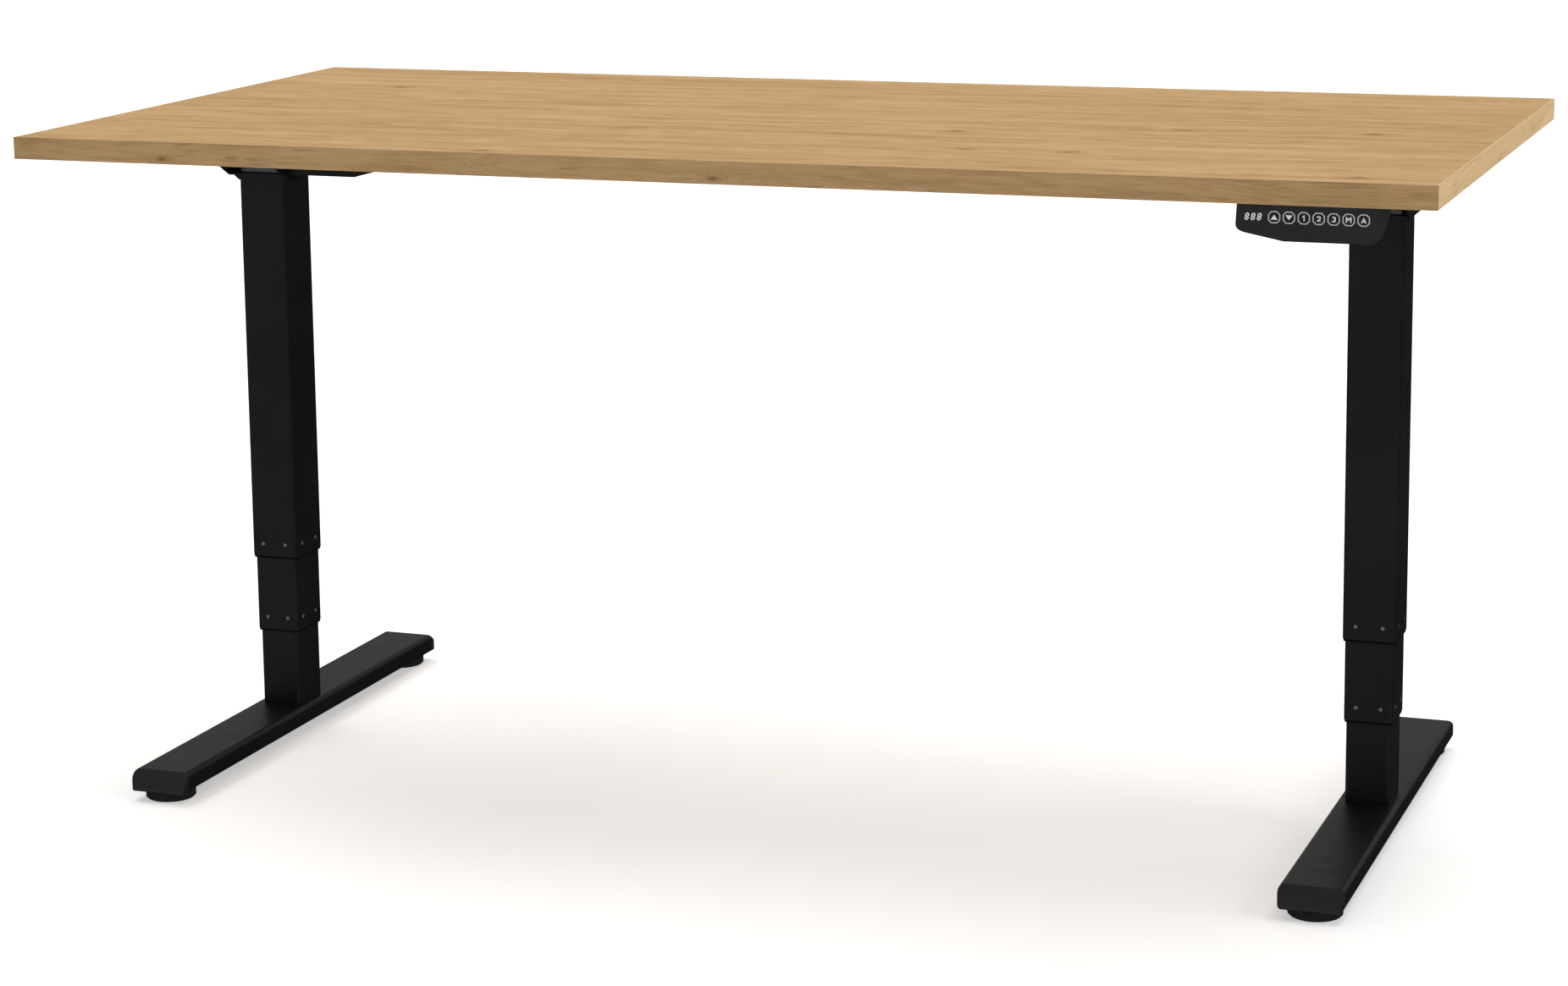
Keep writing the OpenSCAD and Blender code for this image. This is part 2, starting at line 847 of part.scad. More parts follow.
// Two sleeves joined by three cross plates.
module crossbeam_sleeve() {
    grow = 2 * (rail_wall + sleeve_fit);
    tie = 40;
    gap_half = rail_y - rail_w / 2;
    color("#1a1b1e")
        difference() {
            union() {
                for (end = [-1, 1])
                    translate([0, leg_y + end * rail_y, rail_z])
                        along_x(-sleeve_len / 2, sleeve_len / 2)
                            difference() {
                                square([rail_w + grow, rail_h + grow], center = true);
                                square([rail_w + 2 * sleeve_fit, rail_h + 2 * sleeve_fit], center = true);
                            }
                for (x = [-(sleeve_len - tie) / 2, 0, (sleeve_len - tie) / 2])
                    block([x - tie / 2, leg_y - gap_half, under - rail_wall],
                          [x + tie / 2, leg_y + gap_half, under]);
            }
            at_lock_bolts()
                translate([0, 0, -1])
                    cylinder(r = beam_bolt_r + bolt_fit, h = rail_wall + 2);
        }
}

module frame_bolts() {
    color("#8c9096") {
        for (side = [LEFT, RIGHT])
            at_column(side)
                at_beam_bolts()
                    bolt(beam_bolt_r, tab_t + arm_sheet + 2, 5, 3.5, 2.6);
        at_lock_bolts()
            bolt(beam_bolt_r, rail_wall + sleeve_fit, 5, 3.5, 2.6);
    }
}

module frame_screws() {
    color("#8c9096") {
        at_bracket_screws()
            translate([0, 0, under - arm_sheet])
                bolt(screw_thread_r, arm_sheet + screw_depth - 1, 4.6, 2.6, 2);
        at_box_screws()
            translate([0, 0, under - lid_t])
                bolt(screw_thread_r, lid_t + screw_depth - 1, 4.6, 2.6, 2);
        at_handset_screws()
            translate([0, 0, under - handset_ear_t()])
                bolt(screw_thread_r, handset_ear_t() + screw_depth - 1, 4.6, 2.6, 2);
    }
}

// ---- handset -------------------------------------------------------------------------

function handset_ear_t() = 3;

// Face outline in X and Z, moved in by inset from its sides and lower edge.
function handset_outline(inset) =
    let (
        left = handset_left + inset,
        right = handset_right - inset,
        bottom = under - handset_h + inset,
        left_z = under - handset_low + inset * 0.8
    )
    rounded(
        [[left + 1.5, under], [left, left_z - 3], [left + 8, under - handset_h * 0.78 + inset],
         [left + 49, bottom], [right, bottom], [right, under - 7], [right + 5, under]],
        [0, 7, 7, 5, 7, 5, 0], 5);

// Side outline in Y and Z: deep behind the face and thin at the back.
function handset_side(inset) =
    let (back = face_y + handset_d - inset, low = under - handset_h - 1 + inset)
    [[face_y + face_t, low], [face_y + 20, low], [back, under - 12 + inset], [back, under],
     [face_y + face_t, under]];

module handset_solid(inset) {
    intersection() {
        along_y(face_y + face_t, face_y + handset_d - inset)
            polygon(handset_outline(inset));
        along_x(handset_left, handset_right + 6)
            polygon(handset_side(inset));
    }
}

module handset_shell() {
    ear_y = face_y + handset_d - 24;
    color("#1b1c1f")
        difference() {
            handset_solid(0);
            difference() {
                translate([0, -0.5, 0])
                    handset_solid(handset_wall);
                block([handset_left, face_y, under - handset_wall], [handset_right + 6, ear_y, under + 1]);
                block([handset_left, ear_y, under - handset_h], [handset_right + 6, ear_y + 30, under + 1]);
            }
            at_handset_screws() {
                translate([0, 0, under - 20])
                    cylinder(r = 5.2, h = 20 - handset_ear_t());
                translate([0, 0, under - 4])
                    cylinder(r = screw_thread_r + bolt_fit, h = 5);
            }
            translate([handset_exit_x, face_y + handset_d - 40, under - 6])
                rotate([-90, 0, 0])
                    cylinder(r = lead_r + fixed_fit, h = 41);
        }
}

// Square with cut corners, in X and Z.
function key_outline(grow) =
    let (a = key_size / 2 + grow, b = a - key_cut)
    rounded([[a, b], [b, a], [-b, a], [-a, b], [-a, -b], [-b, -a], [b, -a], [a, -b]],
            [for (i = [0:7]) 1.6], 3);

module at_key(i) {
    translate([first_key_x + i * key_pitch, 0, key_z])
        children();
}

module handset_face() {
    color("#0e0f11")
        difference() {
            along_y(face_y, face_y + face_t)
                polygon(handset_outline(0));
            for (i = [0:len(KEYS) - 1])
                at_key(i)
                    along_y(face_y - 1, face_y + face_t + 1)
                        polygon(key_outline(key_gap));
        }
}

// Key cap with a wider flange behind the face and a plunger that presses its switch.
module key(i) {
    cap_y = face_y - key_proud;
    flange_y = face_y + face_t + 0.1;
    color("#18191c")
        at_key(i) {
            along_y(cap_y, flange_y + 0.2)
                polygon(key_outline(0));
            along_y(flange_y, flange_y + key_flange)
                polygon(key_outline(1));
            translate([0, flange_y, 0])
                rotate([-90, 0, 0])
                    cylinder(r = 1.5, h = pcb_y - key_travel - 0.2 - flange_y, $fn = 24);
        }
}

module handset_board() {
    pcb_w = handset_w - 14;
    pcb_h = 15;
    z0 = under - 20;
    color("#1f6b3a")
        block([handset_left + 9, pcb_y, z0], [handset_left + 9 + pcb_w, pcb_y + pcb_t, z0 + pcb_h]);
    color("#202020")
        block([handset_left + 8.6, face_y + face_t + 0.4, z0 + 3], [handset_left + 30, pcb_y + 0.1, z0 + 14]);
}

// ---- control box ---------------------------------------------------------------------

module at_box() {
    translate([0, box_y, 0])
        children();
}

// Outline of the mains inlet, a rectangle with its two upper corners cut.
function inlet_outline(grow) =
    let (w = inlet_w / 2 + grow, h = inlet_h / 2 + grow, cut = 4)
    [[-w, -h], [w, -h], [w, h - cut], [w - cut, h], [cut - w, h], [-w, h - cut]];

module control_box_housing() {
    top_z = under - lid_t;
    mid_z = (top_z + box_bottom) / 2;
    inlet_x = box_w / 4;
    color("#202125")
        at_box()
            difference() {
                union() {
                    difference() {
                        translate([0, 0, box_bottom])
                            linear_extrude(top_z - box_bottom)
                                polygon(round_rect(box_w, box_d, 5));
                        translate([0, 0, box_bottom + box_wall])
                            linear_extrude(box_h)
                                polygon(round_rect(box_w - 2 * box_wall, box_d - 2 * box_wall, 3));
                    }
                    translate([inlet_x, 0, mid_z])
                        along_y(box_d / 2 - inlet_deep - inlet_wall, box_d / 2 - box_wall / 2)
                            polygon(inlet_outline(inlet_wall));
                    for (end = [-1, 1])
                        block([min(end * (box_w / 2 - 1), end * (box_w / 2 - socket_deep - 3)),
                               -20, mid_z - 3],
                              [max(end * (box_w / 2 - 1), end * (box_w / 2 - socket_deep - 3)), -4, top_z]);
                    block([handset_cross_x - 8, -box_d / 2 + 1, mid_z - 3],
                          [handset_cross_x + 8, -box_d / 2 + socket_deep + 3, top_z]);
                    for (x = [-box_w / 2 + 20, box_w / 2 - 20])
                        for (y = [-box_d / 2 + 30, box_d / 2 - 26])
                            translate([x, y, box_bottom + 1])
                                cylinder(r = 3, h = pcb_foot + box_wall - 1, $fn = 24);
                }
                translate([inlet_x, 0, mid_z])
                    along_y(box_d / 2 - inlet_deep, box_d / 2 + 1)
                        polygon(inlet_outline(0));
                for (end = [-1, 1])
                    translate([end * (box_w / 2 - socket_deep), lead_run_y - box_y, lead_z])
                        rotate([0, 90 * end, 0])
                            cylinder(r = lead_r + fixed_fit, h = socket_deep + 1);
                translate([handset_cross_x, -box_d / 2 + socket_deep, lead_z])
                    rotate([90, 0, 0])
                        cylinder(r = lead_r + fixed_fit, h = socket_deep + 1);
            }
}

module control_box_lid() {
    color("#202125")
        at_box()
            difference() {
                translate([0, 0, under - lid_t])
                    linear_extrude(lid_t)
                        polygon(round_rect(box_w + 2 * ear, box_d, 5));
                translate([0, -box_y, 0])
                    at_box_screws()
                        translate([0, 0, under - lid_t - 1])
                            cylinder(r = screw_thread_r + bolt_fit, h = lid_t + 2);
            }
}

// Circuit board with a transformer, two capacitors and a row of relays.
module control_board() {
    z0 = box_bottom + box_wall + pcb_foot + 0.05;
    low_y = -box_d / 2 + 22;
    high_y = box_d / 2 - 22;
    color("#1f6b3a")
        at_box()
            block([-box_w / 2 + 16, low_y, z0], [box_w / 2 - 16, high_y, z0 + pcb_t]);
    color("#c9b24a")
        at_box() {
            block([-80, -20, z0 + pcb_t - 0.1], [-45, 18, z0 + 18]);
            for (x = [-25, -5])
                translate([x, 10, z0 + pcb_t - 0.1])
                    cylinder(r = 7, h = 15);
            for (x = [-30:16:20])
                block([x, -22, z0 + pcb_t - 0.1], [x + 12, -8, z0 + 12]);
        }
}

// ---- leads and clips -----------------------------------------------------------------

// Route with each corner turned into a short curve of the given reach.
function soft_route(points, reach, steps = 5) =
    let (n = len(points))
    [for (i = [0:n - 1]) each i == 0 || i == n - 1
        ? [points[i]]
        : let (a = points[i] + unit(points[i - 1] - points[i]) * reach,
               c = points[i] + unit(points[i + 1] - points[i]) * reach)
          [for (k = [0:steps]) let (t = k / steps)
              (1 - t) * (1 - t) * a + 2 * t * (1 - t) * points[i] + t * t * c]];

// Eight-sided tube along a route that never runs straight up or down.
module lead(points) {
    sides = 8;
    route = soft_route(points, 14);
    n = len(route);
    rings = [for (i = [0:n - 1])
        let (
            along = unit(route[min(i + 1, n - 1)] - route[max(i - 1, 0)]),
            side = unit(cross(along, [0, 0, 1])),
            up = cross(side, along)
        )
        [for (k = [0:sides - 1]) let (a = 360 * (k + 0.5) / sides)
            route[i] + lead_r * (cos(a) * side + sin(a) * up)]];
    polyhedron(
        points = [for (ring = rings) each ring],
        faces = concat(
            [[for (k = [0:sides - 1]) k]],
            [for (i = [0:n - 2]) for (k = [0:sides - 1])
                each [[i * sides + k, (i + 1) * sides + k, i * sides + (k + 1) % sides],
                      [i * sides + (k + 1) % sides, (i + 1) * sides + k, (i + 1) * sides + (k + 1) % sides]]],
            [[for (k = [sides - 1:-1:0]) (n - 1) * sides + k]]));
}

// The motor lead leaves the cover's back wall, passes below the rail and rises to the board.
function motor_route(side) =
    let (
        x0 = side * (column_gap / 2 - lead_exit_x()),
        y0 = leg_y + cover_half - 6,
        clear_y = leg_y + rail_y + rail_w / 2 + 12
    )
    [[x0, y0, dip_z], [x0, clear_y, dip_z], [x0, clear_y + 50, lead_z - 1], [x0, lead_run_y, lead_z],
     [side * (box_w / 2 - socket_deep + 0.2), lead_run_y, lead_z]];

// The handset lead runs back, then along the board, below both sleeves and up to the box.
function handset_route() =
    let (
        start_y = face_y + handset_d - 38,
        front_clear = leg_y - rail_y - rail_w / 2 - 16,
        back_clear = leg_y + rail_y + rail_w / 2 + 16
    )
    [[handset_exit_x, start_y, lead_z], [handset_exit_x, handset_run_y, lead_z],
     [handset_cross_x, handset_run_y, lead_z], [handset_cross_x, front_clear - 50, lead_z],
     [handset_cross_x, front_clear, dip_z], [handset_cross_x, back_clear, dip_z],
     [handset_cross_x, back_clear + 40, lead_z],
     [handset_cross_x, box_y - box_d / 2 + socket_deep - 0.2, lead_z]];

module motor_leads() {
    color("#0c0c0d")
        for (side = [LEFT, RIGHT])
            lead(motor_route(side));
}

module handset_lead() {
    color("#0c0c0d")
        lead(handset_route());
}

// Clip under the board with a tunnel along X for the lead.
module clip() {
    difference() {
        block([-5, -6, lead_z - lead_r - 2], [5, 6, under]);
        translate([-6, 0, lead_z])
            rotate([0, 90, 0])
                cylinder(r = lead_r + fixed_fit, h = 12);
    }
}

module cable_clips() {
    motor_clip_x = [column_gap / 2 - lead_exit_x() - 60, box_w / 2 + 150];
    color("#2b2c2f") {
        for (side = [LEFT, RIGHT])
            for (x = motor_clip_x)
                translate([side * x, lead_run_y, 0])
                    clip();
        for (x = [handset_exit_x - 60, (handset_exit_x + handset_cross_x) / 2, handset_cross_x + 60])
            translate([x, handset_run_y, 0])
                clip();
    }
}

// ---- parts ---------------------------------------------------------------------------

tabletop_board();
edge_bands_long();
edge_bands_short();
crossbeam_sleeve();
crossbeam_rail(LEFT);  // crossbeam_rail_left
crossbeam_rail(RIGHT);  // crossbeam_rail_right
side_bracket(LEFT);  // side_bracket_left
side_bracket(RIGHT);  // side_bracket_right
motor_cover(LEFT);  // motor_cover_left
motor_cover(RIGHT);  // motor_cover_right
motor(LEFT);  // motor_left
motor(RIGHT);  // motor_right
gearbox(LEFT);  // gearbox_left
gearbox(RIGHT);  // gearbox_right
outer_tube(LEFT);  // outer_tube_left
outer_tube(RIGHT);  // outer_tube_right
outer_glide(LEFT);  // outer_glide_left
outer_glide(RIGHT);  // outer_glide_right
control_box_housing();
control_box_lid();
control_board();
handset_shell();
handset_face();
handset_board();
frame_screws();
frame_bolts();
cable_clips();
motor_leads();
handset_lead();
key(0);  // key_up
key(1);  // key_down
key(2);  // key_one
key(3);  // key_two
key(4);  // key_three
key(5);  // key_memory
key(6);  // key_alarm
middle_tube(LEFT);  // middle_tube_left
middle_glide(LEFT);  // middle_glide_left
upper_nut(LEFT);  // upper_nut_left
middle_tube(RIGHT);  // middle_tube_right
middle_glide(RIGHT);  // middle_glide_right
upper_nut(RIGHT);  // upper_nut_right
inner_screw(LEFT);  // inner_screw_left
inner_screw(RIGHT);  // inner_screw_right
hollow_screw(LEFT);  // hollow_screw_left
hollow_screw(RIGHT);  // hollow_screw_right
inner_tube(LEFT);  // inner_tube_left
lower_nut(LEFT);  // lower_nut_left
foot_beam(LEFT);  // foot_beam_left
foot_caps(LEFT);  // foot_caps_left
foot_bolts(LEFT);  // foot_bolts_left
inner_tube(RIGHT);  // inner_tube_right
lower_nut(RIGHT);  // lower_nut_right
foot_beam(RIGHT);  // foot_beam_right
foot_caps(RIGHT);  // foot_caps_right
foot_bolts(RIGHT);  // foot_bolts_right
levelling_pad(LEFT, -1);  // levelling_pad_left_front
levelling_pad(LEFT, 1);  // levelling_pad_left_back
levelling_pad(RIGHT, -1);  // levelling_pad_right_front
levelling_pad(RIGHT, 1);  // levelling_pad_right_back
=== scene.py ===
import json
import math

import bmesh
import bpy
from mathutils import Matrix, Vector


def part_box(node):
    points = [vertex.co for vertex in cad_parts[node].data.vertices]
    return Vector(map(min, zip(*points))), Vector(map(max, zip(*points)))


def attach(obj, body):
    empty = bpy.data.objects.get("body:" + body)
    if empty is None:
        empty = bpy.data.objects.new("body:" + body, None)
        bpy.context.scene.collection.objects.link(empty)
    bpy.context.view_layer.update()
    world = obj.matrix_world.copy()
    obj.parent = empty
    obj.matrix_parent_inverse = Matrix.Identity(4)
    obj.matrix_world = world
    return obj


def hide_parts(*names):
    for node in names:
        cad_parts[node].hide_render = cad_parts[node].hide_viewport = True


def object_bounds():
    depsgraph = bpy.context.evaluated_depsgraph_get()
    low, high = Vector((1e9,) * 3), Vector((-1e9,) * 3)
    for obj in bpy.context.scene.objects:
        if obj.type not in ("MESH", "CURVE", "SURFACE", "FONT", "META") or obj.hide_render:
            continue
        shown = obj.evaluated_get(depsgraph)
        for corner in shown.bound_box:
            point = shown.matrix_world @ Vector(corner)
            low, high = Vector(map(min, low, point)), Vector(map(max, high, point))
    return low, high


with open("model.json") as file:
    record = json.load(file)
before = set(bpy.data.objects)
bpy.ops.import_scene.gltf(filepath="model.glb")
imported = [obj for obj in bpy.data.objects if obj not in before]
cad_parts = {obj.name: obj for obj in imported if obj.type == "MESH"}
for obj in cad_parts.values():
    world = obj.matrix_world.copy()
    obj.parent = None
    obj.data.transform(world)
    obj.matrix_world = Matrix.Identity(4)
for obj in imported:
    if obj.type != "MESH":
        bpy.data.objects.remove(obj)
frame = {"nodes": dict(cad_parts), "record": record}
cad_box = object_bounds()
NODES = frame["nodes"]
BODIES = frame["record"]["behaviour"]["bodies"]
SLOTS = {part["node"]: part["material_slot"] for part in frame["record"]["subparts"]}

MM = 0.001
SIDES = ("left", "right")
KEYS = ("up", "down", "one", "two", "three", "memory", "alarm")
GLIDE_STAGES = ("outer", "middle")


# ---- camera --------------------------------------------------------------------------

AZIMUTH = math.radians(20.337)
ELEVATION = math.radians(10.018)
ROLL = math.radians(-0.719)
CAMERA_AT = Vector((1.3933, -3.9427, 1.2603))
SENSOR = 36.0
LENS = 83.71
SHIFT = (0.0224, -0.0985)
CLIP = (0.1, 200)


def add_camera():
    back = Vector((math.sin(AZIMUTH) * math.cos(ELEVATION),
                   -math.cos(AZIMUTH) * math.cos(ELEVATION),
                   math.sin(ELEVATION)))
    level = Vector((math.cos(AZIMUTH), math.sin(AZIMUTH), 0))
    upright = back.cross(level)
    right = level * math.cos(ROLL) + upright * math.sin(ROLL)
    up = upright * math.cos(ROLL) - level * math.sin(ROLL)
    data = bpy.data.cameras.new("camera")
    data.sensor_fit = "HORIZONTAL"
    data.sensor_width = SENSOR
    data.lens = LENS
    data.shift_x, data.shift_y = SHIFT
    data.clip_start, data.clip_end = CLIP
    camera = bpy.data.objects.new("camera", data)
    turn = Matrix((right, up, back)).transposed().to_4x4()
    camera.matrix_world = Matrix.Translation(CAMERA_AT) @ turn
    bpy.context.scene.collection.objects.link(camera)
    bpy.context.scene.camera = camera


# ---- node helpers --------------------------------------------------------------------

def node(tree, kind, inputs=None, **settings):
    made = tree.nodes.new("ShaderNode" + kind)
    for name, value in settings.items():
        setattr(made, name, value)
    for key, value in (inputs or {}).items():
        if isinstance(value, bpy.types.NodeSocket):
            tree.links.new(value, made.inputs[key])
        else:
            made.inputs[key].default_value = value
    return made


def rgb(r, g, b):
    """Linear colour of an 8-bit sRGB one."""
    def linear(c):
        c /= 255
        return c / 12.92 if c <= 0.04045 else ((c + 0.055) / 1.055) ** 2.4
    return (linear(r), linear(g), linear(b), 1)


def stretched(tree, scale, turn=0.0, shift=(0, 0, 0), vector=None):
    """The object's own coordinates in metres, turned about Z, then scaled and shifted."""
    if vector is None:
        vector = node(tree, "TexCoord").outputs["Object"]
    if turn:
        vector = node(tree, "Mapping", {"Vector": vector, "Rotation": (0, 0, turn)}).outputs[0]
    return node(tree, "Mapping", {"Vector": vector, "Scale": scale, "Location": shift}).outputs[0]


def noise(tree, vector, scale=1.0, detail=3.0, rough=0.5, distortion=0.0):
    made = node(tree, "TexNoise", {"Vector": vector, "Scale": scale, "Detail": detail,
                                   "Roughness": rough, "Distortion": distortion})
    return made.outputs[0]


def ramp(tree, factor, *stops):
    made = node(tree, "ValToRGB", {"Fac": factor})
    points = made.color_ramp.elements
    while len(points) < len(stops):
        points.new(0.5)
    for point, (at, colour) in zip(points, stops):
        point.position = at
        point.color = colour
    return made.outputs[0]


def grey(v):
    return (v, v, v, 1)


def maths(tree, operation, a, b=0.0, c=0.0):
    made = node(tree, "Math", operation=operation)
    for socket, value in zip(made.inputs, (a, b, c)):
        if isinstance(value, bpy.types.NodeSocket):
            tree.links.new(value, socket)
        else:
            socket.default_value = value
    return made.outputs[0]


def spread(tree, value, low, high):
    """A 0 to 1 value taken to run from low to high."""
    return node(tree, "MapRange", {"Value": value, "To Min": low, "To Max": high}).outputs[0]


def mix(tree, factor, a, b):
    made = node(tree, "Mix", data_type="RGBA")
    for index, value in ((0, factor), (6, a), (7, b)):
        if isinstance(value, bpy.types.NodeSocket):
            tree.links.new(value, made.inputs[index])
        else:
            made.inputs[index].default_value = value
    return made.outputs[2]


def bump(tree, height, distance, strength=1.0, normal=None):
    inputs = {"Height": height, "Distance": distance, "Strength": strength}
    if normal is not None:
        inputs["Normal"] = normal
    return node(tree, "Bump", inputs).outputs[0]


def material(name, **constants):
    """An empty material's tree and its shader, with constants set on the shader's own sockets."""
    made = bpy.data.materials.new(name)
    made.use_nodes = True
    tree = made.node_tree
    shader = tree.nodes["Principled BSDF"]
    for key, value in constants.items():
        shader.inputs[key.replace("_", " ")].default_value = value
    return made, tree, shader


def plug(tree, shader, **sockets):
    for key, value in sockets.items():
        tree.links.new(value, shader.inputs[key.replace("_", " ")])


# ---- materials -----------------------------------------------------------------------

# Noise scales of the oak along the grain and across it.
SWAY_SCALE = (1.3, 3.5, 3.5)
BROAD_SCALE = (0.9, 9, 9)
STREAK_SCALE = (7.5, 70, 70)
FINE_SCALE = (20, 430, 430)
RING_SCALE = (0.5, 6.0, 6.0)
PATCH_SCALE = (2.4, 11, 11)

# Each layer's share in the tone, and how far the tone runs from the middle colour to an end one.
BROAD_SHARE = 0.17
STREAK_SHARE = 0.40
FINE_SHARE = 0.39
RING_SHARE = 0.04
TONE_REACH = 0.125

# How far the grain sways and how far a knot pushes it, in metres; how far a knot is felt.
SWAY = 0.06
KNOT_PUSH = 0.008
KNOT_REACH = 0.30
KNOT_CHOICE = (0.46, 0.48)
KNOT_RAGGED = 0.10
KNOTS_ON_TOP = (7, 14, 6)
KNOTS_ON_EDGE = (14, 6, 40)

# Tints of the marks: factors on the oak's dark colour, and one on its light colour.
WARM = (0.94, 0.78, 0.60)
BROWN = (0.55, 0.45, 0.36)
PALE = 1.14

# Marks: noise scale, shift, where they begin, where they are full, tint and strength.
OAK_MARKS = (
    ((5.5, 120, 120), (3, 1, 2), 0.54, 0.68, "warm", 0.55),
    ((13, 140, 140), (7, 4, 5), 0.56, 0.68, "pale", 0.55),
    ((17, 150, 150), (1, 9, 6), 0.62, 0.72, "brown", 0.55),
    ((40, 900, 900), (0, 0, 0), 0.58, 0.68, "brown", 0.30),
)
PATCHES = ((0.40, grey(0.15)), (0.62, grey(1)))

# Knots: how far out they reach, where they are full, tint and strength.
OAK_KNOTS = ((0.24, 0.10, "warm", 0.55), (0.13, 0.075, "brown", 0.80))

OAK_ROUGHNESS = (0.42, 0.60)
OAK_RELIEF = 0.0001
OAK_RELIEF_STRENGTH = 0.6
PORE_RELIEF = -0.8


def wood(name, colours, turn=0.0, shift=(0, 0, 0), contrast=1.0, knotty=KNOTS_ON_TOP):
    """Oak decor whose grain runs along X, or along Y with a quarter turn."""
    dark, middle, light = colours
    made, tree, shader = material(name, Specular_IOR_Level=0.2)
    base = stretched(tree, (1, 1, 1), turn, shift)

    # Scattered knots push the grain round them.
    knots = node(tree, "TexVoronoi", {"Vector": stretched(tree, knotty, vector=base),
                                      "Scale": 1.0, "Randomness": 1.0})
    chosen = ramp(tree, knots.outputs["Color"], (KNOT_CHOICE[0], grey(0)),
                  (KNOT_CHOICE[1], grey(1)))
    felt = ramp(tree, knots.outputs["Distance"], (0.0, grey(1)), (KNOT_REACH, grey(0)))
    near = maths(tree, "MULTIPLY", felt, chosen)
    sway = noise(tree, stretched(tree, SWAY_SCALE, vector=base), detail=3)
    sway = maths(tree, "MULTIPLY", maths(tree, "SUBTRACT", sway, 0.5), SWAY)
    sway = maths(tree, "MULTIPLY_ADD", near, KNOT_PUSH, sway)
    offset = node(tree, "CombineXYZ", {"Y": sway, "Z": sway}).outputs[0]
    grain = node(tree, "VectorMath", {0: base, 1: offset}, operation="ADD").outputs[0]

    broad = noise(tree, stretched(tree, BROAD_SCALE, vector=grain), detail=3)
    streak = noise(tree, stretched(tree, STREAK_SCALE, vector=grain), detail=7, rough=0.74,
                   distortion=0.25)
    fine = noise(tree, stretched(tree, FINE_SCALE, vector=grain), detail=4, rough=0.65)
    rings = node(tree, "TexWave", {"Vector": stretched(tree, RING_SCALE, vector=grain),
                                   "Scale": 1.0, "Distortion": 10.0, "Detail": 4.0,
                                   "Detail Scale": 0.9}, bands_direction="Y").outputs[0]
    tone = maths(tree, "MULTIPLY", broad, BROAD_SHARE)
    tone = maths(tree, "MULTIPLY_ADD", streak, STREAK_SHARE, tone)
    tone = maths(tree, "MULTIPLY_ADD", fine, FINE_SHARE, tone)
    tone = maths(tree, "MULTIPLY_ADD", rings, RING_SHARE, tone)
    half = TONE_REACH / contrast
    colour = ramp(tree, tone, (0.5 - half, dark), (0.5, middle), (0.5 + half, light))

    # Reddish veins, pale flecks, dark dashes and pores, and the knots themselves.
    tints = {"warm": tuple(c * k for c, k in zip(dark[:3], WARM)) + (1,),
             "pale": tuple(min(1.0, c * PALE) for c in light[:3]) + (1,),
             "brown": tuple(c * k for c, k in zip(dark[:3], BROWN)) + (1,)}
    for scale, place_shift, low, high, tint, amount in OAK_MARKS:
        marks = noise(tree, stretched(tree, scale, shift=place_shift, vector=grain), detail=3)
        marks = ramp(tree, marks, (low, grey(0)), (high, grey(1)))
        patch = noise(tree, stretched(tree, PATCH_SCALE, shift=place_shift, vector=grain),
                      detail=2)
        marks = maths(tree, "MULTIPLY", marks, ramp(tree, patch, *PATCHES))
        colour = mix(tree, maths(tree, "MULTIPLY", marks, amount * contrast), colour, tints[tint])
    ragged = maths(tree, "MULTIPLY_ADD", streak, KNOT_RAGGED, knots.outputs["Distance"])
    for reach, start, tint, amount in OAK_KNOTS:
        spot = ramp(tree, ragged, (start, grey(1)), (reach, grey(0)))
        spot = maths(tree, "MULTIPLY", spot, chosen)
        colour = mix(tree, maths(tree, "MULTIPLY", spot, amount), colour, tints[tint])

    rough = spread(tree, fine, *OAK_ROUGHNESS)
    relief = maths(tree, "MULTIPLY_ADD", marks, PORE_RELIEF, fine)
    plug(tree, shader, Base_Color=colour, Roughness=rough,
         Normal=bump(tree, relief, OAK_RELIEF, OAK_RELIEF_STRENGTH))
    return made


# Noise scales of a coating: mottling, unevenness of the gloss, and orange peel.
MOTTLE_SCALE = 9
GLOSS_SCALE = 60
PEEL_SCALE = 240
MOTTLE_SHARE = 0.35
COAT_STOPS = (0.36, 0.5, 0.66)
GLOSS_VARIES = 0.06
PEEL_STRENGTH = 0.5
SPECK_STRENGTH = 0.7


def coated(name, low, high, rough, grain=620.0, relief=0.00012, specular=0.2, peel=0.00025):
    """Paint or plastic with fine speckle: the colour runs from low to high."""
    made, tree, shader = material(name, Specular_IOR_Level=specular)
    place = stretched(tree, (1, 1, 1))
    speck = noise(tree, place, grain, detail=3, rough=0.65)
    wide = noise(tree, place, MOTTLE_SCALE, detail=3)
    mottle = maths(tree, "MULTIPLY_ADD", wide, MOTTLE_SHARE,
                   maths(tree, "MULTIPLY", speck, 1 - MOTTLE_SHARE))
    between = tuple((a + b) / 2 for a, b in zip(low, high))
    colour = ramp(tree, mottle, *zip(COAT_STOPS, (low, between, high)))
    even = noise(tree, place, GLOSS_SCALE, detail=4)
    gloss = spread(tree, even, rough - GLOSS_VARIES, rough + GLOSS_VARIES)
    waves = noise(tree, place, PEEL_SCALE, detail=2)
    normal = bump(tree, waves, peel, PEEL_STRENGTH)
    plug(tree, shader, Base_Color=colour, Roughness=gloss,
         Normal=bump(tree, speck, relief, SPECK_STRENGTH, normal))
    return made


STAIN_SCALE = 45
DULL_METAL = 0.72
METAL_STOPS = (0.36, 0.6)
MARK_RELIEF = 0.00004


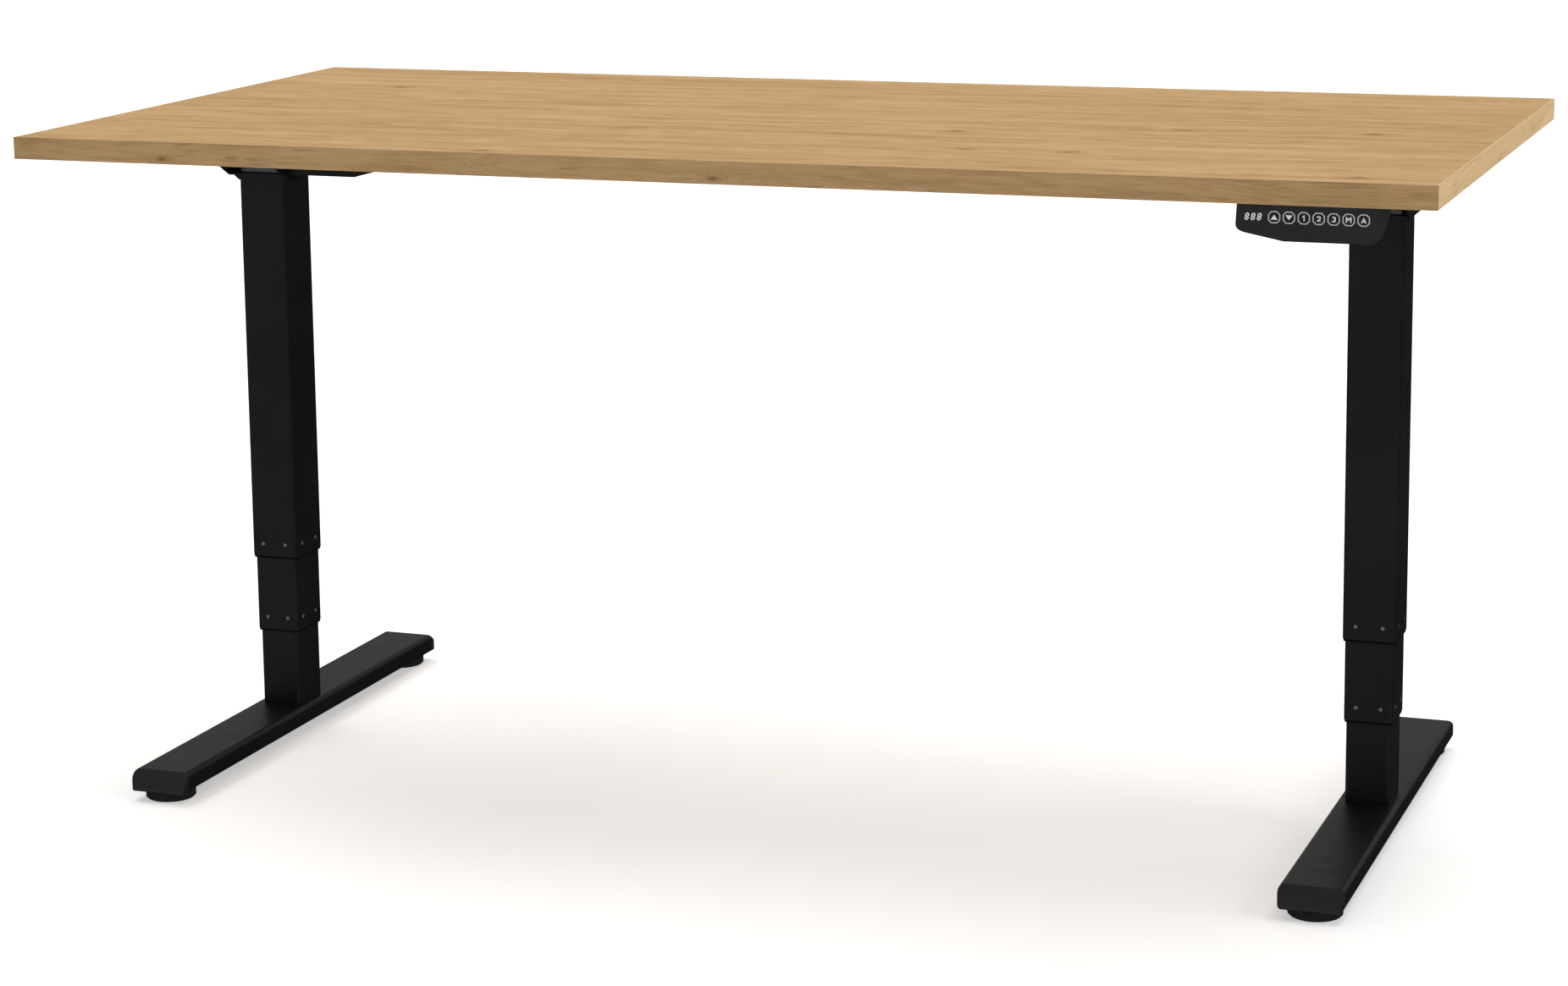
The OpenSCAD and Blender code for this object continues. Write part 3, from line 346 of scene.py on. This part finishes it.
def metal(name, colour, rough, lines=(40, 40, 900)):
    """Bright metal with fine tool marks, drawn out along the axis with the lowest number."""
    made, tree, shader = material(name, Metallic=1.0)
    marks = noise(tree, stretched(tree, lines), detail=4, rough=0.6)
    stain = noise(tree, stretched(tree, (1, 1, 1)), STAIN_SCALE, detail=4)
    dull = tuple(c * DULL_METAL for c in colour[:3]) + (1,)
    both = maths(tree, "MULTIPLY_ADD", marks, 0.5, maths(tree, "MULTIPLY", stain, 0.5))
    plug(tree, shader, Base_Color=ramp(tree, both, *zip(METAL_STOPS, (dull, colour))),
         Roughness=spread(tree, both, rough - 0.12, rough + 0.14),
         Normal=bump(tree, marks, MARK_RELIEF, 0.5))
    return made


def circuit_board():
    """Green lacquer with pale tracks and darker green patches."""
    made, tree, shader = material("circuit_board", Specular_IOR_Level=0.5)
    place = stretched(tree, (1, 1, 1))
    tracks = node(tree, "TexBrick", {"Vector": place, "Scale": 130.0, "Mortar Size": 0.03,
                                     "Color1": rgb(20, 84, 44), "Color2": rgb(24, 92, 48),
                                     "Mortar": rgb(92, 150, 84)}).outputs[0]
    dust = noise(tree, place, 90, detail=4)
    colour = mix(tree, maths(tree, "MULTIPLY", dust, 0.3), tracks, rgb(18, 60, 34))
    plug(tree, shader, Base_Color=colour, Roughness=spread(tree, dust, 0.28, 0.5),
         Normal=bump(tree, tracks, 0.00003, 0.6))
    return made


def printed(name, colour, glow=0.0):
    """White print or a lit segment, slightly uneven as screen print is."""
    made, tree, shader = material(name, Specular_IOR_Level=0.3)
    patchy = noise(tree, stretched(tree, (1, 1, 1)), 1500, detail=3, rough=0.6)
    worn = tuple(c * 0.7 for c in colour[:3]) + (1,)
    shade = ramp(tree, patchy, (0.35, worn), (0.6, colour))
    plug(tree, shader, Base_Color=shade, Roughness=spread(tree, patchy, 0.45, 0.65))
    if glow:
        shader.inputs["Emission Strength"].default_value = glow
        plug(tree, shader, Emission_Color=shade)
    return made


# Dark, middle and light colours of the oak on the top, on its long edges and on its ends. The long
# edges' colours are the top's oak darkened as painted shade, and the ends' colours are the top's oak
# lightened as painted light, for how the light falls on each face.
OAK_TOP = (rgb(160, 121, 70), rgb(190, 153, 101), rgb(204, 169, 118))
OAK_EDGE_PAINTED_SHADE = (rgb(136, 104, 66), rgb(168, 136, 93), rgb(181, 151, 109))
OAK_END_PAINTED_LIGHT = (rgb(188, 154, 107), rgb(209, 177, 131), rgb(219, 190, 147))
EDGE_CONTRAST = 0.8


def make_materials():
    return {
        "oak_laminate": wood("oak_laminate", OAK_TOP),
        # The long edge bands: the oak's own grain, with its colours darkened as painted shade on the
        # front face.
        "oak_edge": wood("oak_edge", OAK_EDGE_PAINTED_SHADE, shift=(0, 0, 1.3), knotty=KNOTS_ON_EDGE,
                         contrast=EDGE_CONTRAST),
        # The short end bands: a lighter copy of the oak, painted light on the end faces.
        "oak_end_painted_light": wood("oak_end_painted_light", OAK_END_PAINTED_LIGHT, turn=math.pi / 2, shift=(0, 0, 2.1),
                        contrast=EDGE_CONTRAST),
        "black_frame": coated("black_frame", grey(0.002), grey(0.009), 0.42),
        # The glide's black is darker and duller than the frame's: partly its own black plastic,
        # partly painted shade for the shadow under the tube's lower rim.
        "black_glide": coated("black_glide", grey(0.001), grey(0.003), 0.8, grain=900, specular=0.1),
        "black_cap": coated("black_cap", grey(0.006), grey(0.014), 0.52, grain=1100, specular=0.4),
        "pad_rubber": coated("pad_rubber", grey(0.006), grey(0.013), 0.7, grain=1400),
        "housing_black": coated("housing_black", grey(0.010), grey(0.022), 0.48, grain=1300,
                                specular=0.4),
        "gloss_face": coated("gloss_face", rgb(25, 24, 26), rgb(33, 31, 33), 0.36, grain=1600,
                             relief=0.00003, specular=0.3, peel=0.00005),
        "key_black": coated("key_black", rgb(18, 18, 20), rgb(27, 26, 28), 0.42, grain=1600,
                            relief=0.00004, specular=0.3),
        "lead_black": coated("lead_black", grey(0.008), grey(0.016), 0.42, grain=1500,
                             specular=0.4),
        "peg_grey": coated("peg_grey", rgb(88, 89, 92), rgb(120, 121, 124), 0.3, grain=2000,
                           specular=0.5),
        "cast_zinc": metal("cast_zinc", rgb(150, 152, 156), 0.5, (200, 200, 200)),
        "motor_steel": metal("motor_steel", rgb(158, 160, 164), 0.36, (30, 700, 700)),
        "screw_steel": metal("screw_steel", rgb(190, 192, 196), 0.28, (60, 60, 900)),
        "fastener_steel": metal("fastener_steel", rgb(168, 170, 174), 0.34, (500, 500, 120)),
        "brass": metal("brass", rgb(206, 172, 96), 0.3, (600, 90, 600)),
        "nut_plastic": coated("nut_plastic", rgb(196, 190, 172), rgb(214, 208, 192), 0.45,
                              specular=0.5),
        "circuit_board": circuit_board(),
        "print_white": printed("print_white", rgb(226, 226, 228)),
        "print_ring": printed("print_ring", rgb(192, 192, 196)),
        "display_grey": printed("display_grey", rgb(214, 214, 212), glow=0.3),
    }


MATERIALS = make_materials()


def dress(obj, name):
    obj.data.materials.clear()
    obj.data.materials.append(MATERIALS[name])


def dress_frame():
    """Gives every CAD node the material of its slot in the record."""
    for name, slot in SLOTS.items():
        dress(NODES[name], slot)
    # The short end bands take the lighter copy of the oak instead of their slot's: painted light on
    # the end faces.
    dress(NODES["edge_bands_short"], "oak_end_painted_light")


# ---- mesh helpers --------------------------------------------------------------------

def link(name, mesh_or_curve, body, material_name):
    obj = bpy.data.objects.new(name, mesh_or_curve)
    bpy.context.scene.collection.objects.link(obj)
    dress(obj, material_name)
    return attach(obj, body)


def body_of(node_name):
    return next(body for body, members in BODIES.items() if node_name in members)


def smooth(mesh):
    for face in mesh.polygons:
        face.use_smooth = True


WELD = 0.00001
FLAT_UNDER = math.radians(0.5)
SHARP_OVER = math.radians(28.0)
EDGE_SEGMENTS = 2
FLAT_WEIGHT = 100


def refined(node_name, width):
    """Stands for a CAD node: the same solid with every sharp edge broken by a small round."""
    bm = bmesh.new()
    bm.from_mesh(NODES[node_name].data)
    bmesh.ops.remove_doubles(bm, verts=bm.verts, dist=WELD)
    bmesh.ops.dissolve_limit(bm, angle_limit=FLAT_UNDER, verts=bm.verts, edges=bm.edges)
    edges = [e for e in bm.edges if len(e.link_faces) == 2 and e.calc_face_angle() > SHARP_OVER]
    bmesh.ops.bevel(bm, geom=edges, offset=width, segments=EDGE_SEGMENTS, profile=0.5,
                    affect="EDGES", clamp_overlap=True)
    mesh = bpy.data.meshes.new(node_name + "_refined")
    for layer in list(bm.loops.layers.float_vector.keys()):
        bm.loops.layers.float_vector.remove(bm.loops.layers.float_vector[layer])
    bm.to_mesh(mesh)
    bm.free()
    if "custom_normal" in mesh.attributes:
        mesh.attributes.remove(mesh.attributes["custom_normal"])
    smooth(mesh)
    obj = link(node_name + "_refined", mesh, body_of(node_name), SLOTS[node_name])
    weighted = obj.modifiers.new("flat faces", "WEIGHTED_NORMAL")
    weighted.weight = FLAT_WEIGHT
    weighted.keep_sharp = True
    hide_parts(node_name)


def joined(name, parts, body, material_name):
    """One mesh from several lists of (points, faces)."""
    points, faces = [], []
    for part_points, part_faces in parts:
        start = len(points)
        points += part_points
        faces += [[start + i for i in face] for face in part_faces]
    mesh = bpy.data.meshes.new(name)
    mesh.from_pydata([tuple(p) for p in points], [], faces)
    mesh.validate()
    return link(name, mesh, body, material_name)


def slab(outline, y_front, y_back):
    """A flat plate with the given outline in X and Z."""
    n = len(outline)
    following = outline[1:] + outline[:1]
    turn = sum(x0 * z1 - x1 * z0 for (x0, z0), (x1, z1) in zip(outline, following))
    if turn < 0:
        outline = outline[::-1]
    points = [(x, y_front, z) for x, z in outline] + [(x, y_back, z) for x, z in outline]
    faces = [list(range(n)), list(range(2 * n - 1, n - 1, -1))]
    faces += [[i, i + n, (i + 1) % n + n, (i + 1) % n] for i in range(n)]
    return points, faces


def ring(outer, inner, y_front, y_back):
    """A flat ring between two outlines in X and Z with as many points each."""
    n = len(outer)
    points = [(x, y, z) for y in (y_front, y_back) for line in (outer, inner) for x, z in line]
    faces = []
    for i in range(n):
        j = (i + 1) % n
        faces += [[i, j, n + j, n + i], [2 * n + i, 3 * n + i, 3 * n + j, 2 * n + j],
                  [i, 2 * n + i, 2 * n + j, j], [n + i, n + j, 3 * n + j, 3 * n + i]]
    return points, faces


MITRE_LIMIT = 0.55


def stroke(points, width, y_front, y_back):
    """A ribbon along points in X and Z, with mitred corners."""
    ways = [(Vector(b) - Vector(a)).normalized() for a, b in zip(points, points[1:])]
    left, right = [], []
    for i, point in enumerate(points):
        before, after = ways[max(i - 1, 0)], ways[min(i, len(ways) - 1)]
        along = (before + after).normalized()
        reach = width / 2 / max(along.dot(after), MITRE_LIMIT)
        across = Vector((-along.y, along.x)) * reach
        left.append(tuple(Vector(point) + across))
        right.append(tuple(Vector(point) - across))
    return slab(left + right[::-1], y_front, y_back)


# How far each node's sharp edges are broken.
ROUNDED = {
    "handset_shell": 0.8 * MM,
    "handset_face": 0.7 * MM,
    "control_box_housing": 0.8 * MM,
    "control_box_lid": 0.6 * MM,
    "crossbeam_sleeve": 0.5 * MM,
}
ROUNDED |= {f"key_{key}": 0.3 * MM for key in KEYS}
for side_name in SIDES:
    ROUNDED |= {f"foot_caps_{side_name}": 0.9 * MM, f"side_bracket_{side_name}": 0.6 * MM,
                f"motor_cover_{side_name}": 0.9 * MM, f"crossbeam_rail_{side_name}": 0.4 * MM}


# ---- handset graphics ----------------------------------------------------------------

CORNER_STEPS = 3
CORNER_REACH = 0.2
ARC_STEPS = 8


def octagon(x, z, half, cut):
    """A square with cut and softened corners, as a list of points in X and Z."""
    corners = []
    side = half - cut
    for sx, sz in ((1, 1), (-1, 1), (-1, -1), (1, -1)):
        pair = [(sx * half, sz * side), (sx * side, sz * half)]
        corners += pair if sx * sz > 0 else pair[::-1]
    soft = []
    n = len(corners)
    for i, corner in enumerate(corners):
        before, after = corners[i - 1], corners[(i + 1) % n]
        reach = cut * CORNER_REACH
        ends = []
        for other in (before, after):
            gap = math.dist(other, corner)
            ends.append(tuple(c + (o - c) * reach / gap for c, o in zip(corner, other)))
        for k in range(CORNER_STEPS + 1):
            t = k / CORNER_STEPS
            soft.append(tuple((1 - t) ** 2 * a + 2 * t * (1 - t) * c + t * t * b
                              for a, c, b in zip(ends[0], corner, ends[1])))
    return [(x + px, z + pz) for px, pz in soft]


def arc(cx, cz, r, start, stop, squeeze):
    """Points along an arc, in degrees from X towards Z; squeeze widens it in X."""
    angles = [math.radians(start + (stop - start) * i / ARC_STEPS) for i in range(ARC_STEPS + 1)]
    return [(cx + r * squeeze * math.cos(a), cz + r * math.sin(a)) for a in angles]


# Each sign as lines on a field 1 high, centred on the origin.
SIGNS = {
    "one": [[(-0.24, 0.20), (0.05, 0.42), (0.05, -0.5)]],
    "two": [arc(0, 0.14, 0.26, 170, -35, squeeze=1.1) + [(-0.25, -0.40), (0.36, -0.40)]],
    "three": [arc(0, 0.20, 0.20, 160, -75, squeeze=1.35),
              arc(0, -0.20, 0.22, 75, -160, squeeze=1.35)],
    "memory": [[(-0.40, -0.5), (-0.40, 0.5)], [(0.40, -0.5), (0.40, 0.5)],
               [(-0.36, 0.42), (0, -0.06)], [(0.36, 0.42), (0, -0.06)]],
    "alarm": [[(-0.38, -0.5), (0, 0.36), (0.38, -0.5)], [(-0.24, -0.20), (0.24, -0.20)]],
}
SIGN_H = 5.5 * MM
SIGN_LINE = 1.15 * MM
ARROW_W = 7.0 * MM
ARROW_H = 4.9 * MM
PRINT_T = 0.05 * MM
RING_LINE = 1.05 * MM
RING_INSET = 0.05 * MM
RING_CUT = 0.6
SIGN_LAYERS = 8
KEY_FLANGE = 1.0 * MM
KEY_CUT = 3.2 * MM


def key_centre(name):
    low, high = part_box("key_" + name)
    return (low.x + high.x) / 2, low.y, (low.z + high.z) / 2


def key_half():
    """Half the width of a key's visible cap, without the wider flange behind it."""
    low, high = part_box("key_one")
    return (high.x - low.x) / 2 - KEY_FLANGE


def add_key_print(name):
    x, y, z = key_centre(name)
    front, back = y - PRINT_T, y + PRINT_T
    half = key_half() - RING_INSET
    outer = octagon(x, z, half, KEY_CUT)
    inner = octagon(x, z, half - RING_LINE, KEY_CUT - RING_LINE * RING_CUT)
    joined("ring_" + name, [ring(outer, inner, front, back)], "key_" + name, "print_ring")
    if name in ("up", "down"):
        point = 1 if name == "up" else -1
        base_z, tip_z = z - point * ARROW_H / 2, z + point * ARROW_H / 2
        mark = [(x - ARROW_W / 2, base_z), (x + ARROW_W / 2, base_z), (x, tip_z)]
        parts = [slab(mark, front, back)]
    else:
        parts = []
        for layer, line in enumerate(SIGNS[name]):
            line = [(x + px * SIGN_H, z + pz * SIGN_H) for px, pz in line]
            parts.append(stroke(line, SIGN_LINE, front + layer * PRINT_T / SIGN_LAYERS, back))
    joined("sign_" + name, parts, "key_" + name, "print_white")


DIGIT_W = 2.8 * MM
DIGIT_H = 6.2 * MM
DIGIT_GAP = 3.5 * MM
SEGMENT = 1.25 * MM
SLANT = math.tan(math.radians(11))
DIGITS_LEFT = 10.3 * MM
DIGITS = 3
SEGMENT_GAP = 0.12


def segment(a, b, line):
    """A bar with pointed ends between two points in X and Z."""
    (x0, z0), (x1, z1) = a, b
    length = math.dist(a, b)
    ux, uz = (x1 - x0) / length, (z1 - z0) / length
    nx, nz = -uz, ux
    gap = line * SEGMENT_GAP
    along = (gap, gap + line / 2, length - gap - line / 2, length - gap, length - gap - line / 2,
             gap + line / 2)
    across = (0, line / 2, line / 2, 0, -line / 2, -line / 2)
    return [(x0 + ux * s + nx * t, z0 + uz * s + nz * t) for s, t in zip(along, across)]


def add_display():
    """Three slanted seven-segment eights on the handset's face."""
    low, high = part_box("handset_face")
    _, _, z = key_centre("one")
    front, back = low.y - PRINT_T, low.y + PRINT_T
    parts = []
    for i in range(DIGITS):
        x = low.x + DIGITS_LEFT + i * (DIGIT_W + DIGIT_GAP)
        rows = (z - DIGIT_H / 2, z, z + DIGIT_H / 2)
        corners = [[(x + c * DIGIT_W + (row - z) * SLANT, row) for c in (0, 1)] for row in rows]
        bars = [tuple(row) for row in corners]
        bars += [(corners[k][c], corners[k + 1][c]) for k in (0, 1) for c in (0, 1)]
        parts += [slab(segment(a, b, SEGMENT), front, back) for a, b in bars]
    joined("display_digits", parts, body_of("handset_face"), "display_grey")


# ---- small parts ---------------------------------------------------------------------

PEG_R = 2.3 * MM
PEG_RISE = 15.0 * MM
PEG_SINK = 0.3 * MM
# Radius and height of a peg's head, from inside its hole up to the dimple.
PEG_PROFILE = ((PEG_R, -1.2 * MM), (PEG_R, -0.1 * MM), (PEG_R * 0.86, 0.14 * MM),
               (PEG_R * 0.5, 0.22 * MM), (PEG_R * 0.34, 0.05 * MM), (PEG_R * 0.1, -0.05 * MM))
LATHE_STEPS = 24

PIN_W = 2.0 * MM
PIN_T = 4.0 * MM
PIN_L = 11.0 * MM
PIN_ROOT = 1 * MM
PIN_POINT = 1.2 * MM
PIN_TIP = (0.6, 0.8)
PIN_SPREAD = 7.0 * MM
PIN_LOW = -1.5 * MM
PIN_HIGH = 2.5 * MM


def lathe(profile):
    """A solid turned about Z from (radius, height) pairs and closed at both ends."""
    steps = LATHE_STEPS
    points = [(0, 0, profile[0][1])]
    for r, h in profile:
        points += [(r * math.cos(2 * math.pi * k / steps), r * math.sin(2 * math.pi * k / steps), h)
                   for k in range(steps)]
    points.append((0, 0, profile[-1][1]))
    faces = [[0, 1 + (k + 1) % steps, 1 + k] for k in range(steps)]
    for level in range(len(profile) - 1):
        a, b = 1 + level * steps, 1 + (level + 1) * steps
        faces += [[a + k, a + (k + 1) % steps, b + (k + 1) % steps, b + k] for k in range(steps)]
    last = 1 + (len(profile) - 1) * steps
    faces += [[last + k, last + (k + 1) % steps, len(points) - 1] for k in range(steps)]
    return points, faces


def placed(shape, at, direction):
    """The shape with its Z axis turned to a direction and moved."""
    points, faces = shape
    turn = Vector(direction).to_track_quat("Z", "Y").to_matrix()
    return [tuple(turn @ Vector(p) + Vector(at)) for p in points], faces


def add_pegs(stage, side):
    """Domed heads with a dimple, in the holes near a tube's lower edge."""
    tube = f"{stage}_tube_{side}"
    low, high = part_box(tube)
    centre, size = (low + high) / 2, high - low
    z = low.z + PEG_RISE
    head = lathe(PEG_PROFILE)
    parts = []
    for face in (-1, 1):
        for spot in (-1, 1):
            parts.append(placed(head, (centre.x + spot * size.x / 4,
                                       centre.y + face * (size.y / 2 - PEG_SINK), z), (0, face, 0)))
            parts.append(placed(head, (centre.x + face * (size.x / 2 - PEG_SINK),
                                       centre.y + spot * size.y / 4, z), (face, 0, 0)))
    pegs = joined(f"pegs_{stage}_{side}", parts, body_of(tube), "peg_grey")
    smooth(pegs.data)


def add_inlet_pins():
    """Three flat pins in the mains inlet at the back of the control box."""
    inlet = next(o for o in frame["record"]["physics"]["openings"] if o["name"] == "mains_inlet")
    (x0, y0, z0), (x1, _, z1) = inlet["box_m"]
    middle = ((x0 + x1) / 2, (z0 + z1) / 2)
    parts = []
    for dx, dz in ((-PIN_SPREAD, PIN_LOW), (PIN_SPREAD, PIN_LOW), (0, PIN_HIGH)):
        cx, cz = middle[0] + dx, middle[1] + dz
        outline = [(cx - PIN_W / 2, cz - PIN_T / 2), (cx + PIN_W / 2, cz - PIN_T / 2),
                   (cx + PIN_W / 2, cz + PIN_T / 2), (cx - PIN_W / 2, cz + PIN_T / 2)]
        tip = [(cx + (x - cx) * PIN_TIP[0], cz + (z - cz) * PIN_TIP[1]) for x, z in outline]
        n = len(outline)
        points = [(x, y0 - PIN_ROOT, z) for x, z in outline]
        points += [(x, y0 + PIN_L - PIN_POINT, z) for x, z in outline]
        points += [(x, y0 + PIN_L, z) for x, z in tip]
        faces = [list(range(n)), list(range(3 * n - 1, 2 * n - 1, -1))]
        faces += [[a + i, a + n + i, a + n + (i + 1) % n, a + (i + 1) % n]
                  for a in (0, n) for i in range(n)]
        parts.append((points, faces))
    joined("inlet_pins", parts, body_of("control_box_housing"), "brass")


# ---- stage ---------------------------------------------------------------------------

FLOOR_REACH = 60.0
FLOOR_GLOW = 0.42
FLOOR_SHADES = (0.78, 0.80)
FLOOR_NOISE = 6
AMBIENT = 0.40
BACKDROP = 1.0
FRONT_CARD = 0.50
BACK_CARD = 0.03
CARD_FADE = (-0.6, 0.3)
HORIZON = 0.04
# Strength, azimuth, elevation and width of each lamp, the last three in degrees.
LAMPS = {"overhead": (2.1, 200, 72, 60), "side": (0.9, 95, 24, 40)}


def add_floor():
    size, z = FLOOR_REACH, cad_box[0].z
    mesh = bpy.data.meshes.new("floor")
    mesh.from_pydata([(-size, -size, z), (size, -size, z), (size, size, z), (-size, size, z)], [],
                     [(0, 1, 2, 3)])
    floor = bpy.data.objects.new("floor", mesh)
    bpy.context.scene.collection.objects.link(floor)
    made, tree, shader = material("floor", Specular_IOR_Level=0.1, Roughness=0.9)
    shade = noise(tree, stretched(tree, (1, 1, 1)), FLOOR_NOISE, detail=2)
    low, high = FLOOR_SHADES
    plug(tree, shader, Base_Color=ramp(tree, shade, (0.3, grey(low)), (0.7, grey(high))))
    shader.inputs["Emission Color"].default_value = grey(1)
    shader.inputs["Emission Strength"].default_value = FLOOR_GLOW
    mesh.materials.append(made)
    floor.visible_glossy = False


def add_sun(name, strength, azimuth, elevation, angle):
    """A wide, soft lamp that no surface mirrors."""
    data = bpy.data.lights.new(name, "SUN")
    data.energy = strength
    data.angle = math.radians(angle)
    sun = bpy.data.objects.new(name, data)
    a, e = math.radians(azimuth), math.radians(elevation)
    towards = Vector((math.sin(a) * math.cos(e), -math.cos(a) * math.cos(e), math.sin(e)))
    sun.rotation_euler = towards.to_track_quat("Z", "Y").to_euler()
    sun.visible_glossy = False
    bpy.context.scene.collection.objects.link(sun)


def add_light():
    """White studio: even light from above, a grey card low in front and a dark one low behind."""
    world = bpy.data.worlds.new("studio")
    bpy.context.scene.world = world
    world.use_nodes = True
    tree = world.node_tree
    way = node(tree, "SeparateXYZ", {"Vector": node(tree, "TexCoord").outputs["Generated"]})
    behind = node(tree, "MapRange", {"Value": way.outputs["Y"], "From Min": CARD_FADE[0],
                                     "From Max": CARD_FADE[1]},
                  interpolation_type="SMOOTHSTEP").outputs[0]
    low = spread(tree, behind, FRONT_CARD, BACK_CARD)
    above = node(tree, "MapRange", {"Value": way.outputs["Z"], "From Min": -HORIZON,
                                    "From Max": HORIZON, "To Min": low,
                                    "To Max": AMBIENT}).outputs[0]
    path = node(tree, "LightPath")
    mirrored = node(tree, "MapRange", {"Value": path.outputs["Is Glossy Ray"], "To Min": AMBIENT,
                                       "To Max": above}).outputs[0]
    level = node(tree, "MapRange", {"Value": path.outputs["Is Camera Ray"], "To Min": mirrored,
                                    "To Max": BACKDROP}).outputs[0]
    tree.links.new(level, tree.nodes["Background"].inputs["Strength"])
    tree.nodes["Background"].inputs["Color"].default_value = (1, 1, 1, 1)
    for lamp, settings in LAMPS.items():
        add_sun(lamp, *settings)
    bpy.context.scene.view_settings.view_transform = "Standard"


# ---- assembly ------------------------------------------------------------------------

add_camera()
dress_frame()
for refined_node, edge_round in ROUNDED.items():
    refined(refined_node, edge_round)
for key in KEYS:
    add_key_print(key)
add_display()
for column_side in SIDES:
    for tube_stage in GLIDE_STAGES:
        add_pegs(tube_stage, column_side)
add_inlet_pins()
add_floor()
add_light()
